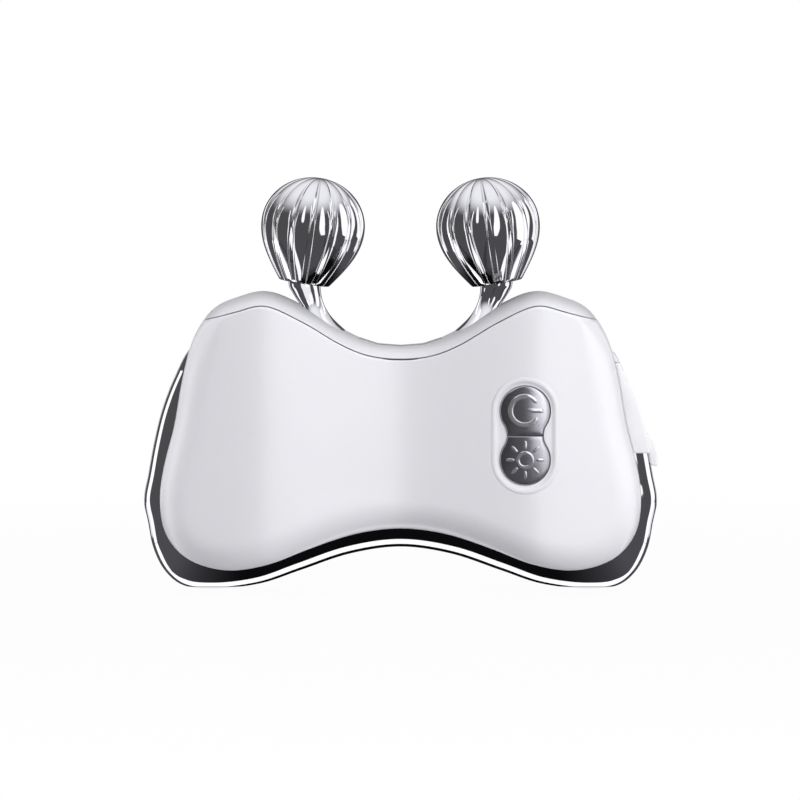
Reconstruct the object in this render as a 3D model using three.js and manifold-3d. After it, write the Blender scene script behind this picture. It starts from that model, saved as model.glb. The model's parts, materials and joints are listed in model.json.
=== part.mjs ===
// A palm-sized facial roller massager: a saddle-shaped housing that carries two fluted chrome
// rollers on flared posts, a chrome scraping plate behind it, two push buttons and a charging port.
// Millimetres, +Z up, the front faces -Y and the middle of the width is X = 0.

import * as THREE from "three";
import { mergeVertices } from "three/addons/utils/BufferGeometryUtils.js";
import Module from "manifold-3d";

const wasm = await Module();
wasm.setup();

// How far a tool reaches past the part, and past a face that it cuts through
const FAR = 20;
const OVER = 1;

// Driving dimensions of the housing
const HALF_COLUMNS = 17;
const BELLY = { x: 47.1, z: 19.6 };
const HUMP = { x: 26, z: 59.2 };
const SADDLE_Z = 48.7;
const FOOT = { x: 33, z: 4.75 };
const ARCH_Z = 12.7;
const FACE_VALLEY_Y = -9.8;
const LOBE_DEPTH = 3.2;
const CREST_Y = 0;
const SIDE_ROUND = 6;
const SIDE_ROUND_DEPTH = 6.5;
const TOP_ROUND = 3;
const BACK_ROUND = 2.6;
const WALL = 1.6;
const BACK_WALL = 1.8;
const HOUSING_BACK_Y = 8;
const SEAM_Y = -3.5;
const SEAM_GAP = 0.2;
const BAND_HEIGHT = 2.4;
const BAND_END_X = 31;
const BAND_END_SLOPE = 0.28;
const NOTCH_WIDTH = 6.4;
const NOTCH_HEIGHT = 0.5;

// Driving dimensions of the scraping plate
const PLATE_BULGE = { x: 50.5, z: 17.5 };
const PLATE_TOP_DROP = 3.4;
const PLATE_ARCH_Z = 8.3;
const PLATE_EDGE_ROUND = 1.5;
const PLATE_DISH = 0.6;
const PLATE_RIM_Y = 9.9;
const PLATE_BACK_Y = 13.2;
const PLATE_SKIN = 1.6;
const PLATE_LAND = { from: 6.2, to: 9.2 };
const ADHESIVE = 0.3;

// Driving dimensions of the rollers, in each roller's own frame with Z along its axle
const ROLLER_X = 18.7;
const ROLLER_Z = 60.7;
const ROLLER_TILT = THREE.MathUtils.degToRad(9.1);
const BALL_RADIUS = 10.08;
const BALL_EQUATOR = 11.5;
const BALL_HEIGHT = 20.6;
const BALL_CUT_RADIUS = 4.85;
const FLUTES = 16;
const FLUTE_DEPTH = 0.75;
const FLUTE_STEPS = 4;
const BALL_ROWS = 12;
const HUB_RADIUS = 3.7;
const HUB_LENGTH = 15;
const BUSH_RADIUS = 2.5;
const BUSH_LENGTH = 3.6;
const BUSH_FLANGE = 0.6;
const BUSH_RISE = 0.8;
const BUSH_PLAY = 0.1;
const HUB_BORE = 1.75;
const AXLE_RADIUS = 1.25;
const AXLE_LENGTH = 14.4;
const AXLE_ROOT = 3.2;
const CLIP_RADIUS = 2.3;
const CLIP_THICKNESS = 0.6;
const CLIP_OPENING = 0.9;
const GROOVE_DEPTH = 0.35;
const AXLE_TIP = 0.4;
const ROUND_SIDES = 16;
const POST_SIDES = 20;
const FIT = 0.1;
const RUN = 0.08;

// Driving dimensions of the posts
const POST_TOP_RADIUS = 3.1;
const POST_TOP_RISE = 0.5;
const POST_TOP_EDGE = 1.2;
const POST_TOP_LEAD = 1.6;
const WAIST = { x: 17.75, z: 57.6, radius: 2.05 };
const POST_FOOT = { x: 15.6, radius: 6.2, flare: 3.3 };
const SHANK_RADIUS = 2;
const SHANK_END_Z = 42.4;
const BOSS_RADIUS = 4.4;
const TAB = { radius: 3.8, halfWidth: 1.2, length: 5.5 };
const BOSS_END_Z = 47.4;
const TAB_THICKNESS = 0.5;
const NUT_WIDTH = 6.4;
const NUT_HEIGHT = 2.5;

// Driving dimensions of the buttons and their bezel
const POD = { x: 23.9, z: 32 };
const POD_HALF_LENGTH = 11.05;
const POD_RADIUS = 6.25;
const BEZEL_RING = 0.9;
const BEZEL_RECESS = 0.6;
const BEZEL_BACK_Y = -10.2;
const BEZEL_FLANGE = 1;
const BUTTON_RADIUS = 4.8;
const BUTTON_SPACING = 4.7;
const BUTTON_WAIST = 3.4;
const BUTTON_SPLIT = 0.4;
const BUTTON_FRONT_Y = -12.7;
const BUTTON_GAP = 0.2;
const BUTTON_FLANGE = 0.7;
const BUTTON_TRAVEL = 0.5;

// Driving dimensions of what the housing holds
const BOARD = { x: 24.5, z: 31, width: 28, height: 25, y: -5, thickness: 1.2 };
const BOARD_SCREWS = [[13.5, 40.5], [35.5, 40.5], [13.5, 21.5]];
const SWITCH = { width: 6, height: 3, plunger: 1.3, seat: 0.6, play: 0.3 };
const CHIP = { x: 27, z: 36, width: 5, thickness: 1 };
const COIL = { x: 19, z: 25, radius: 3.4, height: 3, flange: 0.6, groove: 0.8 };
const BATTERY = { x: -24, z: 30, width: 28, height: 20, thickness: 5.5, corner: 1.2 };
const PAD = { thickness: 0.5, inset: 2 };
const SHELF = { z: 40.6, thickness: 1, halfWidth: 8.6, front: -4 };
const LIGHT_BOARD = { thickness: 1, inset: 0.4 };
const LED = { width: 2, height: 1.2, pitch: 5 };
const WINDOW = { halfWidth: 8, halfDepth: 3, ledge: 1 };
const HOUSING_SCREWS = [[-36, 15], [36, 15], [-30, 50], [30, 50]];
const SCREW_RADIUS = 1;
const SCREW_LENGTH = 8;
const HEAD_RADIUS = 2;
const HEAD_HEIGHT = 1.3;
const SCREW_BOSS = 2.8;
const SCREW_PAD = { radius: 3.4, depth: 2 };
const BOARD_POST = 2.2;
const BOARD_SCREW_RADIUS = 0.8;
const BOARD_SCREW_LENGTH = 4;
const BOARD_HEAD_RADIUS = 1.6;
const BOARD_HEAD_HEIGHT = 1;
const LEAD_RADIUS = 0.5;

// Driving dimensions of the charging port and its soft cover
const PORT = { z: 34, y: 3.4, width: 9, height: 3.2, depth: 7.4 };
const PORT_WALL = 0.5;
const PORT_BACK = 1;
const TONGUE = { halfWidth: 3.2, halfHeight: 0.35, recess: 2 };
const PORT_BOARD = { width: 13, depth: 10, thickness: 1 };
const FLAP = { top: 47.6, neck: 45.3, bottom: 27.6, front: -0.6, back: 7.6 };
const FLAP_GAP = 0.3;
const FLAP_INSET = 0.2;
const PEG_HALF = 0.7;
const PLUG = { length: 1.8, inset: 0.9 };
const PULL = { top: 30.6, bottom: 25, thickness: 1.6, inset: 0.5, width: 5 };

const WHITE = finish(0xe9e9ec, 0.35, 0);
const GREY = finish(0xd8d7db, 0.4, 0);
const CHROME = finish(0xc8c8cc, 0.06, 1);
const STEEL = finish(0xa8a8ab, 0.3, 1);
const BRASS = finish(0xb8965a, 0.35, 1);
const NYLON = finish(0xe4e0d4, 0.5, 0);
const SILICONE = finish(0xf1f1f3, 0.6, 0);
const BLACK = finish(0x1d1d1f, 0.5, 0);
const BOARD_GREEN = finish(0x1f5a3a, 0.5, 0);
const LENS = finish(0xe6dcdc, 0.3, 0);
const CELL = finish(0xb9bcc2, 0.35, 0.4);
const FOAM = finish(0x4a4a4d, 0.9, 0);
const RED = finish(0xb3261e, 0.5, 0);

function finish(color, roughness, metalness) {
  return new THREE.MeshStandardMaterial({ color, roughness, metalness });
}

// Solids and meshes

function signedVolume(positions, triangles) {
  const [a, b, c] = [new THREE.Vector3(), new THREE.Vector3(), new THREE.Vector3()];
  let volume = 0;
  for (let i = 0; i < triangles.length; i += 3) {
    a.fromArray(positions, 3 * triangles[i]);
    b.fromArray(positions, 3 * triangles[i + 1]);
    c.fromArray(positions, 3 * triangles[i + 2]);
    volume += a.dot(b.cross(c)) / 6;
  }
  return volume;
}

// The closed solid of a three.js geometry, with its faces turned outwards.
function solid(geometry) {
  const bare = geometry.clone();
  bare.deleteAttribute("normal");
  bare.deleteAttribute("uv");
  const merged = mergeVertices(bare, 1e-4);
  const positions = merged.attributes.position.array;
  const triangles = [];
  for (let i = 0; i < merged.index.count; i += 3) {
    const [a, b, c] = [0, 1, 2].map((k) => merged.index.array[i + k]);
    if (a !== b && b !== c && c !== a) triangles.push(a, b, c);
  }
  if (signedVolume(positions, triangles) < 0) triangles.reverse();
  const mesh = new wasm.Mesh({
    numProp: 3,
    vertProperties: new Float32Array(positions),
    triVerts: new Uint32Array(triangles),
  });
  return new wasm.Manifold(mesh);
}

function geometryOf(body) {
  const mesh = body.getMesh();
  const geometry = new THREE.BufferGeometry();
  geometry.setAttribute("position", new THREE.BufferAttribute(mesh.vertProperties.slice(), 3));
  geometry.setIndex(new THREE.BufferAttribute(mesh.triVerts.slice(), 1));
  geometry.computeVertexNormals();
  return geometry;
}

function piece(name, body, material) {
  const mesh = new THREE.Mesh(geometryOf(body), material);
  mesh.name = name;
  return mesh;
}

function union(...bodies) {
  return bodies.reduce((all, body) => all.add(body));
}

function cut(body, ...tools) {
  return tools.reduce((left, tool) => left.subtract(tool), body);
}

function box(low, high) {
  const size = high.map((value, axis) => value - low[axis]);
  const middle = high.map((value, axis) => (value + low[axis]) / 2);
  return solid(new THREE.BoxGeometry(...size).translate(...middle));
}

// A round bar along Y, from one depth to another.
function barY(x, z, radius, from, to, sides = ROUND_SIDES) {
  const bar = new THREE.CylinderGeometry(radius, radius, to - from, sides);
  return solid(bar.translate(x, (from + to) / 2, z));
}

// A round bar along Z, from one height to another.
function barZ(x, y, radius, from, to, sides = ROUND_SIDES) {
  const bar = new THREE.CylinderGeometry(radius, radius, to - from, sides).rotateX(Math.PI / 2);
  return solid(bar.translate(x, y, (from + to) / 2));
}

// A shape drawn in X and Z, extruded along Y from one depth to another.
function prismY(shape, from, to, curveSegments = 8) {
  const prism = new THREE.ExtrudeGeometry(shape, { depth: to - from, bevelEnabled: false, curveSegments });
  return solid(prism.rotateX(Math.PI / 2).translate(0, to, 0));
}

// A body turned about Z from a profile of radius and height pairs.
function turned(profile, sides = ROUND_SIDES) {
  const points = profile.map(([radius, height]) => new THREE.Vector2(radius, height));
  return solid(new THREE.LatheGeometry(points, sides).rotateX(Math.PI / 2));
}

// A ring about Z between two radii and two heights.
function ringZ(inner, outer, from, to, sides = ROUND_SIDES) {
  return turned([[inner, from], [outer, from], [outer, to], [inner, to], [inner, from]], sides);
}

// The skin through a row of rings of equally many points. Each end is closed by strips between the
// points that pair(i) names, so a ring of outline columns keeps its wave across the end.
function loft(rings, pair) {
  const count = rings[0].length;
  const positions = rings.flat().flatMap((point) => [point.x, point.y, point.z]);
  const triangles = [];
  for (let ring = 0; ring + 1 < rings.length; ring++) {
    for (let i = 0; i < count; i++) {
      const next = (i + 1) % count;
      const [a, b] = [ring * count + i, ring * count + next];
      triangles.push(a, b, b + count, a, b + count, a + count);
    }
  }
  const last = (rings.length - 1) * count;
  for (let i = 0; i < count / 2; i++) {
    const [j, k] = [pair(i), pair(i + 1)];
    triangles.push(i, j, i + 1, i + 1, j, k);
    triangles.push(last + i, last + i + 1, last + j, last + i + 1, last + k, last + j);
  }
  const geometry = new THREE.BufferGeometry();
  geometry.setAttribute("position", new THREE.Float32BufferAttribute(positions, 3));
  geometry.setIndex(triangles);
  return solid(geometry);
}

// Outlines in X and Z. A half outline runs from the middle of the top, round the right side, to the
// middle of the bottom. Its mirror image closes it.

function closedOutline(half) {
  const mirrored = half.slice(1, -1).reverse();
  const points = [...half, ...mirrored.map(([x, z]) => [-x, z])];
  const curve = new THREE.CatmullRomCurve3(
    points.map(([x, z]) => new THREE.Vector3(x, 0, z)),
    true,
    "centripetal",
  );
  return curve.getPoints(60 * points.length);
}

// One ring of an outline: along the top from left to right, then back along the bottom. The same
// columns of X serve the top and the bottom, closer together near the sides.
function outlineRing(half) {
  const dense = closedOutline(half);
  const widest = dense.reduce((a, b) => (b.x > a.x ? b : a));
  const right = dense.slice(0, Math.ceil(dense.length / 2));
  const split = right.indexOf(widest);
  const top = right.slice(0, split + 1);
  const bottom = right.slice(split).reverse();
  const heightAt = (path, x) => {
    const after = Math.max(1, path.findIndex((point) => point.x >= x));
    const [a, b] = [path[after - 1], path[after]];
    return THREE.MathUtils.lerp(a.z, b.z, THREE.MathUtils.clamp((x - a.x) / (b.x - a.x), 0, 1));
  };
  const ring = [];
  const column = (j) => widest.x * Math.sin((j / HALF_COLUMNS) * (Math.PI / 2));
  for (let j = -HALF_COLUMNS; j <= HALF_COLUMNS; j++) {
    const atSide = Math.abs(j) === HALF_COLUMNS;
    const z = atSide ? widest.z : heightAt(top, Math.abs(column(j)));
    ring.push(new THREE.Vector2(column(j), z));
  }
  for (let j = HALF_COLUMNS - 1; j > -HALF_COLUMNS; j--) {
    ring.push(new THREE.Vector2(column(j), heightAt(bottom, Math.abs(column(j)))));
  }
  return ring;
}

const pairColumn = (i) => (i === 0 ? 0 : 4 * HALF_COLUMNS - i);

function outwardNormals(ring) {
  return ring.map((_, i) => {
    const before = ring[(i + ring.length - 1) % ring.length];
    const after = ring[(i + 1) % ring.length];
    return new THREE.Vector2(before.y - after.y, after.x - before.x).normalize();
  });
}

// Half outline of the housing, from the saddle over the hump and the belly to the arch below.
const HOUSING_HALF = [
  [0, SADDLE_Z],
  [5.6, SADDLE_Z + 0.6],
  [10.4, SADDLE_Z + 2.6],
  [17.5, SADDLE_Z + 6.9],
  [HUMP.x, HUMP.z],
  [32.1, HUMP.z - 1.4],
  [36.2, HUMP.z - 3.3],
  [39.9, HUMP.z - 8.7],
  [42.3, BELLY.z + 22.4],
  [44, BELLY.z + 13.5],
  [46, BELLY.z + 6.7],
  [BELLY.x, BELLY.z],
  [46.1, BELLY.z - 6.9],
  [43, BELLY.z - 11.5],
  [39, FOOT.z + 1.1],
  [FOOT.x, FOOT.z],
  [25.4, FOOT.z + 1.3],
  [17.6, ARCH_Z - 3.7],
  [8.5, ARCH_Z - 0.9],
  [0, ARCH_Z],
];

// Half outline of the scraping plate. Its top keeps below the housing's crest.
const PLATE_HALF = [
  [0, SADDLE_Z - PLATE_TOP_DROP],
  [10.4, SADDLE_Z + 2.6 - PLATE_TOP_DROP],
  [17.5, SADDLE_Z + 6.4 - PLATE_TOP_DROP],
  [HUMP.x - 1, HUMP.z - PLATE_TOP_DROP],
  [32, HUMP.z - 2.2 - PLATE_TOP_DROP],
  [37.5, HUMP.z - 6.4 - PLATE_TOP_DROP],
  [41.2, PLATE_BULGE.z + 30],
  [44.4, PLATE_BULGE.z + 24.2],
  [46.9, PLATE_BULGE.z + 17.7],
  [48.5, PLATE_BULGE.z + 11.2],
  [49.6, PLATE_BULGE.z + 5.2],
  [PLATE_BULGE.x, PLATE_BULGE.z],
  [49.7, PLATE_BULGE.z - 4.3],
  [48.7, PLATE_BULGE.z - 9.4],
  [46.4, PLATE_BULGE.z - 14],
  [43, PLATE_BULGE.z - 16.8],
  [37, PLATE_BULGE.z - 17.5],
  [27.6, PLATE_BULGE.z - 16.5],
  [19.8, PLATE_ARCH_Z - 4.7],
  [10, PLATE_ARCH_Z - 1.4],
  [0, PLATE_ARCH_Z],
];

const HOUSING_RING = outlineRing(HOUSING_HALF);
const HOUSING_NORMALS = outwardNormals(HOUSING_RING);
const PLATE_RING = outlineRing(PLATE_HALF);
const PLATE_NORMALS = outwardNormals(PLATE_RING);

// Depth of the front face: a valley in the middle between two lobes, straight from top to bottom.
function faceDepth(x) {
  return FACE_VALLEY_Y - (LOBE_DEPTH * (1 - Math.cos((Math.PI * x) / HUMP.x))) / 2;
}

// Height of the crest over a given X.
function crestHeight(x) {
  const top = HOUSING_RING.slice(0, 2 * HALF_COLUMNS + 1);
  const after = Math.max(1, top.findIndex((point) => point.x >= x));
  const [a, b] = [top[after - 1], top[after]];
  return THREE.MathUtils.lerp(a.y, b.y, (x - a.x) / (b.x - a.x));
}

// One ring of the housing's form. Turn runs from a right angle at the front face, where the ring is
// most inset, through 0 at the widest outline, to negative values on the back of the top.
function housingRing(turn, grow, backY) {
  const fullBack = THREE.MathUtils.degToRad(70);
  return HOUSING_RING.map((point, i) => {
    const normal = HOUSING_NORMALS[i];
    const upward = THREE.MathUtils.smoothstep(normal.y, 0.25, 0.8);
    const round = Math.max(0.5, THREE.MathUtils.lerp(SIDE_ROUND, TOP_ROUND, upward) + grow);
    const back = BACK_ROUND * upward;
    const inset = (turn > 0 ? round : back) * (1 - Math.cos(turn)) - grow;
    const x = point.x - normal.x * inset;
    const z = point.y - normal.y * inset;
    const face = faceDepth(x) - grow;
    const widest = THREE.MathUtils.lerp(faceDepth(x) + SIDE_ROUND_DEPTH, CREST_Y, upward);
    const depth = turn > 0 ? face - widest : ((backY - widest) / Math.sin(fullBack)) * -1;
    return new THREE.Vector3(x, widest + depth * Math.sin(turn), z);
  });
}

// The housing's outer form, grown or, for its hollow, shrunk by a wall.
function housingForm(grow, backY, turns) {
  const rings = turns.map((degrees) => housingRing(THREE.MathUtils.degToRad(degrees), grow, backY));
  return loft(rings, pairColumn);
}

const OUTER_TURNS = [90, 66, 44, 22, 0, -36, -70];
const INNER_TURNS = [90, 50, 0, -70];
const outerForm = housingForm(0, HOUSING_BACK_Y, OUTER_TURNS);
const hollow = housingForm(-WALL, HOUSING_BACK_Y - BACK_WALL, INNER_TURNS);

// What lies below the parting line and in front of the seam, raised and deepened by a gap.
function frontRegion(gap) {
  const far = 2 * BELLY.x;
  const shape = new THREE.Shape();
  const line = [];
  HOUSING_RING.slice(0, 2 * HALF_COLUMNS + 1).forEach((point, i) => {
    const inset = point.clone().addScaledVector(HOUSING_NORMALS[i], gap - BAND_HEIGHT);
    if (Math.abs(inset.x) <= BAND_END_X) line.push(inset);
  });
  const end = line.at(-1);
  const reach = far - end.x;
  line.push(new THREE.Vector2(far, end.y - BAND_END_SLOPE * reach));
  line.unshift(new THREE.Vector2(-far, end.y - BAND_END_SLOPE * reach));
  shape.setFromPoints([...line, new THREE.Vector2(far, -far), new THREE.Vector2(-far, -far)]);
  return prismY(shape, -far, SEAM_Y + gap);
}

// Housing covers

function racetrack(halfLength, radius) {
  const straight = halfLength - radius;
  const shape = new THREE.Shape();
  shape.absarc(POD.x, POD.z + straight, radius, 0, Math.PI);
  shape.absarc(POD.x, POD.z - straight, radius, Math.PI, 2 * Math.PI);
  shape.closePath();
  return shape;
}

function makeFrontCover() {
  const shell = outerForm.intersect(frontRegion(0)).subtract(hollow);
  const backEnd = HOUSING_BACK_Y - BACK_WALL - SCREW_PAD.depth - FIT;
  const inWall = housingForm(-WALL / 2, HOUSING_BACK_Y - BACK_WALL, INNER_TURNS);
  const inCavity = (bar) => bar.intersect(inWall);
  const screwPosts = HOUSING_SCREWS.map(([x, z]) => inCavity(barY(x, z, SCREW_BOSS, -FAR, backEnd)));
  const boardPosts = BOARD_SCREWS.map(([x, z]) => inCavity(barY(x, z, BOARD_POST, -FAR, BOARD.y, 12)));
  const screwHoles = HOUSING_SCREWS.map(([x, z]) =>
    barY(x, z, SCREW_RADIUS + FIT, backEnd - SCREW_LENGTH, backEnd + OVER, 12));
  const boardHoles = BOARD_SCREWS.map(([x, z]) =>
    barY(x, z, BOARD_SCREW_RADIUS + FIT, BOARD.y - BOARD_SCREW_LENGTH, BOARD.y + OVER, 10));
  const pocket = prismY(racetrack(POD_HALF_LENGTH + FIT, POD_RADIUS + FIT), -FAR, BEZEL_BACK_Y);
  const notchZ = SADDLE_Z - BAND_HEIGHT - NOTCH_HEIGHT;
  const notch = box([-NOTCH_WIDTH / 2, -FAR, notchZ], [NOTCH_WIDTH / 2, FACE_VALLEY_Y + OVER, SADDLE_Z]);
  const body = union(shell, ...screwPosts, ...boardPosts);
  return piece("front_cover", cut(body, ...screwHoles, ...boardHoles, pocket, notch), WHITE);
}

function postHole(side) {
  const low = BOSS_END_Z - TAB_THICKNESS - NUT_HEIGHT;
  return barZ(side * POST_FOOT.x, CREST_Y, SHANK_RADIUS + FIT, low, HUMP.z);
}

function windowTool(grow, ledge, low, high) {
  const halfWidth = WINDOW.halfWidth + grow + ledge;
  const halfDepth = WINDOW.halfDepth + grow + ledge;
  return box([-halfWidth, CREST_Y - halfDepth, low], [halfWidth, CREST_Y + halfDepth, high]);
}

function portSlot(margin) {
  const [halfHeight, halfDepth] = [PORT.width / 2 + margin, PORT.height / 2 + margin];
  return box(
    [BELLY.x - PORT.depth, PORT.y - halfDepth, PORT.z - halfHeight],
    [BELLY.x + OVER, PORT.y + halfDepth, PORT.z + halfHeight],
  );
}

function makeRearCover() {
  const shell = cut(outerForm, frontRegion(SEAM_GAP), hollow);
  const inner = housingForm(-WALL / 2, HOUSING_BACK_Y - BACK_WALL / 2, INNER_TURNS);
  const innerBack = HOUSING_BACK_Y - BACK_WALL;
  const bosses = [-1, 1].map((side) =>
    barZ(side * POST_FOOT.x, CREST_Y, BOSS_RADIUS, BOSS_END_Z, HUMP.z).intersect(inner));
  const inWall = innerBack + BACK_WALL / 4;
  const pads = HOUSING_SCREWS.map(([x, z]) =>
    barY(x, z, SCREW_PAD.radius, innerBack - SCREW_PAD.depth, inWall));
  const shelf = box(
    [-SHELF.halfWidth, SHELF.front, SHELF.z],
    [SHELF.halfWidth, inWall, SHELF.z + SHELF.thickness],
  );
  const frame = windowTool(0, 2 * WINDOW.ledge, SADDLE_Z - 2 * WALL, HUMP.z).intersect(inner);
  const body = union(shell, ...bosses, ...pads, shelf, frame);
  const holes = HOUSING_SCREWS.flatMap(([x, z]) => [
    barY(x, z, SCREW_RADIUS + 2 * FIT, 0, HOUSING_BACK_Y + OVER, 12),
    barY(x, z, HEAD_RADIUS + 2 * FIT, HOUSING_BACK_Y - HEAD_HEIGHT - FIT, HOUSING_BACK_Y + OVER),
  ]);
  const windowCuts = [
    windowTool(0, 0, SADDLE_Z - 4 * WALL, HUMP.z),
    windowTool(0, WINDOW.ledge, SADDLE_Z - 4 * WALL, SADDLE_Z - WALL),
  ];
  return piece(
    "rear_cover",
    cut(body, ...holes, ...windowCuts, postHole(-1), postHole(1), portSlot(2 * FIT), anchorPeg(FIT)),
    GREY,
  );
}

function makeLightWindow() {
  const lens = windowTool(-FIT, 0, SADDLE_Z - 2 * WALL, HUMP.z).intersect(outerForm);
  const flange = windowTool(-FIT, WINDOW.ledge, SADDLE_Z - 2 * WALL, SADDLE_Z - WALL - FIT);
  return piece("light_window", lens.add(flange), LENS);
}

// Scraping plate

function plateRing(inset, shrink, y) {
  return PLATE_RING.map((point, i) => {
    const normal = PLATE_NORMALS[i];
    const edge = point.clone().addScaledVector(normal, -inset);
    const partner = PLATE_RING[i === 0 ? 0 : (4 * HALF_COLUMNS - i) % (4 * HALF_COLUMNS)];
    const spine = new THREE.Vector2(point.x * 0.75, (point.y + partner.y) / 2);
    const inner = edge.lerp(spine, shrink);
    return new THREE.Vector3(inner.x, y, inner.y);
  });
}

// The plate from its flat front, over a shallow groove and the rounded rim, to its domed back. A
// pocket behind the housing leaves it a skin and a land for the adhesive.
function makeScrapingPlate() {
  const front = HOUSING_BACK_Y + ADHESIVE;
  const round = PLATE_EDGE_ROUND;
  const rings = [
    plateRing(6, 0, front),
    plateRing(4, 0, front + PLATE_DISH),
    plateRing(2 * round, 0, front + PLATE_DISH),
    plateRing(round, 0, PLATE_RIM_Y - round),
    plateRing(0.3 * round, 0, PLATE_RIM_Y - 0.7 * round),
    plateRing(0, 0, PLATE_RIM_Y),
    plateRing(0.3 * round, 0, PLATE_RIM_Y + 0.7 * round),
    plateRing(round, 0, PLATE_RIM_Y + round),
    plateRing(2 * round, 0.12, PLATE_RIM_Y + round + 0.6 * (PLATE_BACK_Y - PLATE_RIM_Y - round)),
    plateRing(2 * round, 0.3, PLATE_BACK_Y),
  ];
  const pocketRing = (y) => plateRing(PLATE_LAND.to, 0, y);
  const pocket = loft([pocketRing(front - OVER), pocketRing(PLATE_BACK_Y - PLATE_SKIN)], pairColumn);
  return piece("scraping_plate", loft(rings, pairColumn).subtract(pocket), CHROME);
}

function makePlateAdhesive() {
  const sheetOf = (inset, from, to) =>
    loft([plateRing(inset, 0, from), plateRing(inset, 0, to)], pairColumn);
  const [low, high] = [HOUSING_BACK_Y, HOUSING_BACK_Y + ADHESIVE];
  const opening = sheetOf(PLATE_LAND.to, low - OVER, high + OVER);
  const sheet = sheetOf(PLATE_LAND.from, low, high).subtract(opening);
  const heads = HOUSING_SCREWS.map(([x, z]) => barY(x, z, HEAD_RADIUS + OVER, 0, FAR, 12));
  return piece("plate_adhesive", cut(sheet, ...heads), FOAM);
}

// Posts, made for the right side and mirrored for the left by the sign of side

function circle(center, normal, radius, sides) {
  const across = new THREE.Vector3(0, 1, 0);
  const along = new THREE.Vector3().crossVectors(across, normal).normalize();
  return Array.from({ length: sides }, (_, i) => {
    const angle = (2 * Math.PI * i) / sides;
    return center
      .clone()
      .addScaledVector(along, radius * Math.cos(angle))
      .addScaledVector(across, radius * Math.sin(angle));
  });
}

function axleDirection(side) {
  return new THREE.Vector3(-side * Math.sin(ROLLER_TILT), 0, Math.cos(ROLLER_TILT));
}

function onAxle(side, distance) {
  const cutCenter = new THREE.Vector3(side * ROLLER_X, CREST_Y, ROLLER_Z);
  return cutCenter.addScaledVector(axleDirection(side), distance);
}

// A round bar along a roller's axle, in the part's own frame.
function axleBar(side, radius, from, to) {
  const rings = [from, to].map((distance) =>
    circle(onAxle(side, distance), axleDirection(side), radius, ROUND_SIDES));
  return loft(rings, (i) => (ROUND_SIDES - i) % ROUND_SIDES);
}

function makePost(side) {
  const footZ = crestHeight(POST_FOOT.x);
  const foot = new THREE.Vector3(side * POST_FOOT.x, CREST_Y, footZ);
  const waist = new THREE.Vector3(side * WAIST.x, CREST_Y, WAIST.z);
  const footDirection = new THREE.Vector3(-side * 0.5, 0, 0.87);
  const up = new THREE.Vector3(0, 0, 1);
  const flareRing = (share) => {
    const radius = WAIST.radius + (POST_FOOT.radius - WAIST.radius) * (1 - share) ** POST_FOOT.flare;
    const direction = footDirection.clone().lerp(up, share).normalize();
    return circle(foot.clone().lerp(waist, share), direction, radius, POST_SIDES);
  };
  const rings = [
    circle(foot.clone().addScaledVector(footDirection, -2), footDirection, POST_FOOT.radius, POST_SIDES),
    ...[0, 0.1, 0.25, 0.5, 1].map(flareRing),
    circle(onAxle(side, -POST_TOP_LEAD), axleDirection(side), 0.78 * POST_TOP_RADIUS, POST_SIDES),
    circle(onAxle(side, POST_TOP_EDGE - POST_TOP_LEAD), axleDirection(side), POST_TOP_RADIUS, POST_SIDES),
    circle(onAxle(side, POST_TOP_RISE), axleDirection(side), POST_TOP_RADIUS, POST_SIDES),
  ];
  const flare = loft(rings, (i) => (POST_SIDES - i) % POST_SIDES);
  const onSurface = flare.subtract(housingForm(FIT, HOUSING_BACK_Y, OUTER_TURNS));
  const shank = barZ(side * POST_FOOT.x, CREST_Y, SHANK_RADIUS, SHANK_END_Z, footZ + OVER);
  const socket = axleBar(side, AXLE_RADIUS + FIT, POST_TOP_RISE - AXLE_ROOT - FIT, POST_TOP_RISE + OVER);
  return onSurface.add(shank).subtract(socket);
}

function makePostNut(side) {
  const x = side * POST_FOOT.x;
  const radius = NUT_WIDTH / 2 / Math.cos(Math.PI / 6);
  const top = BOSS_END_Z - TAB_THICKNESS;
  const nut = barZ(x, CREST_Y, radius, top - NUT_HEIGHT, top, 6);
  return nut.subtract(barZ(x, CREST_Y, SHANK_RADIUS + FIT, 0, HUMP.z));
}

function makeContactTab(side) {
  const x = side * POST_FOOT.x;
  const ring = barZ(x, CREST_Y, TAB.radius, BOSS_END_Z - TAB_THICKNESS, BOSS_END_Z);
  const tongue = box(
    [x - TAB.halfWidth, CREST_Y, BOSS_END_Z - TAB_THICKNESS],
    [x + TAB.halfWidth, CREST_Y + TAB.length, BOSS_END_Z],
  );
  return ring.add(tongue).subtract(barZ(x, CREST_Y, SHANK_RADIUS + FIT, 0, HUMP.z));
}

// Rollers, each in a group whose Z axis is its axle

const LAST_ROW_TURN = THREE.MathUtils.degToRad(83);
const LAST_ROW_SHARE = 0.985;
const GROOVE_FROM = AXLE_LENGTH - CLIP_THICKNESS - AXLE_TIP;
const UPPER_BUSH_TOP = GROOVE_FROM - BUSH_PLAY;

// Radius of the ball between its creases at a height above its flat bottom.
function ballRadius(height) {
  if (height > BALL_EQUATOR) {
    const share = (height - BALL_EQUATOR) / (BALL_HEIGHT - BALL_EQUATOR);
    return BALL_RADIUS * Math.sqrt(Math.max(0, 1 - share * share));
  }
  const curve = new THREE.CubicBezierCurve(
    new THREE.Vector2(BALL_CUT_RADIUS, 0),
    new THREE.Vector2(BALL_CUT_RADIUS + 0.67 * (BALL_RADIUS - BALL_CUT_RADIUS), 0.4 * BALL_EQUATOR),
    new THREE.Vector2(BALL_RADIUS, 0.65 * BALL_EQUATOR),
    new THREE.Vector2(BALL_RADIUS, BALL_EQUATOR),
  );
  const points = curve.getPoints(80);
  const after = Math.max(1, points.findIndex((point) => point.y >= height));
  const [a, b] = [points[after - 1], points[after]];
  return THREE.MathUtils.lerp(a.x, b.x, (height - a.y) / (b.y - a.y));
}

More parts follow.
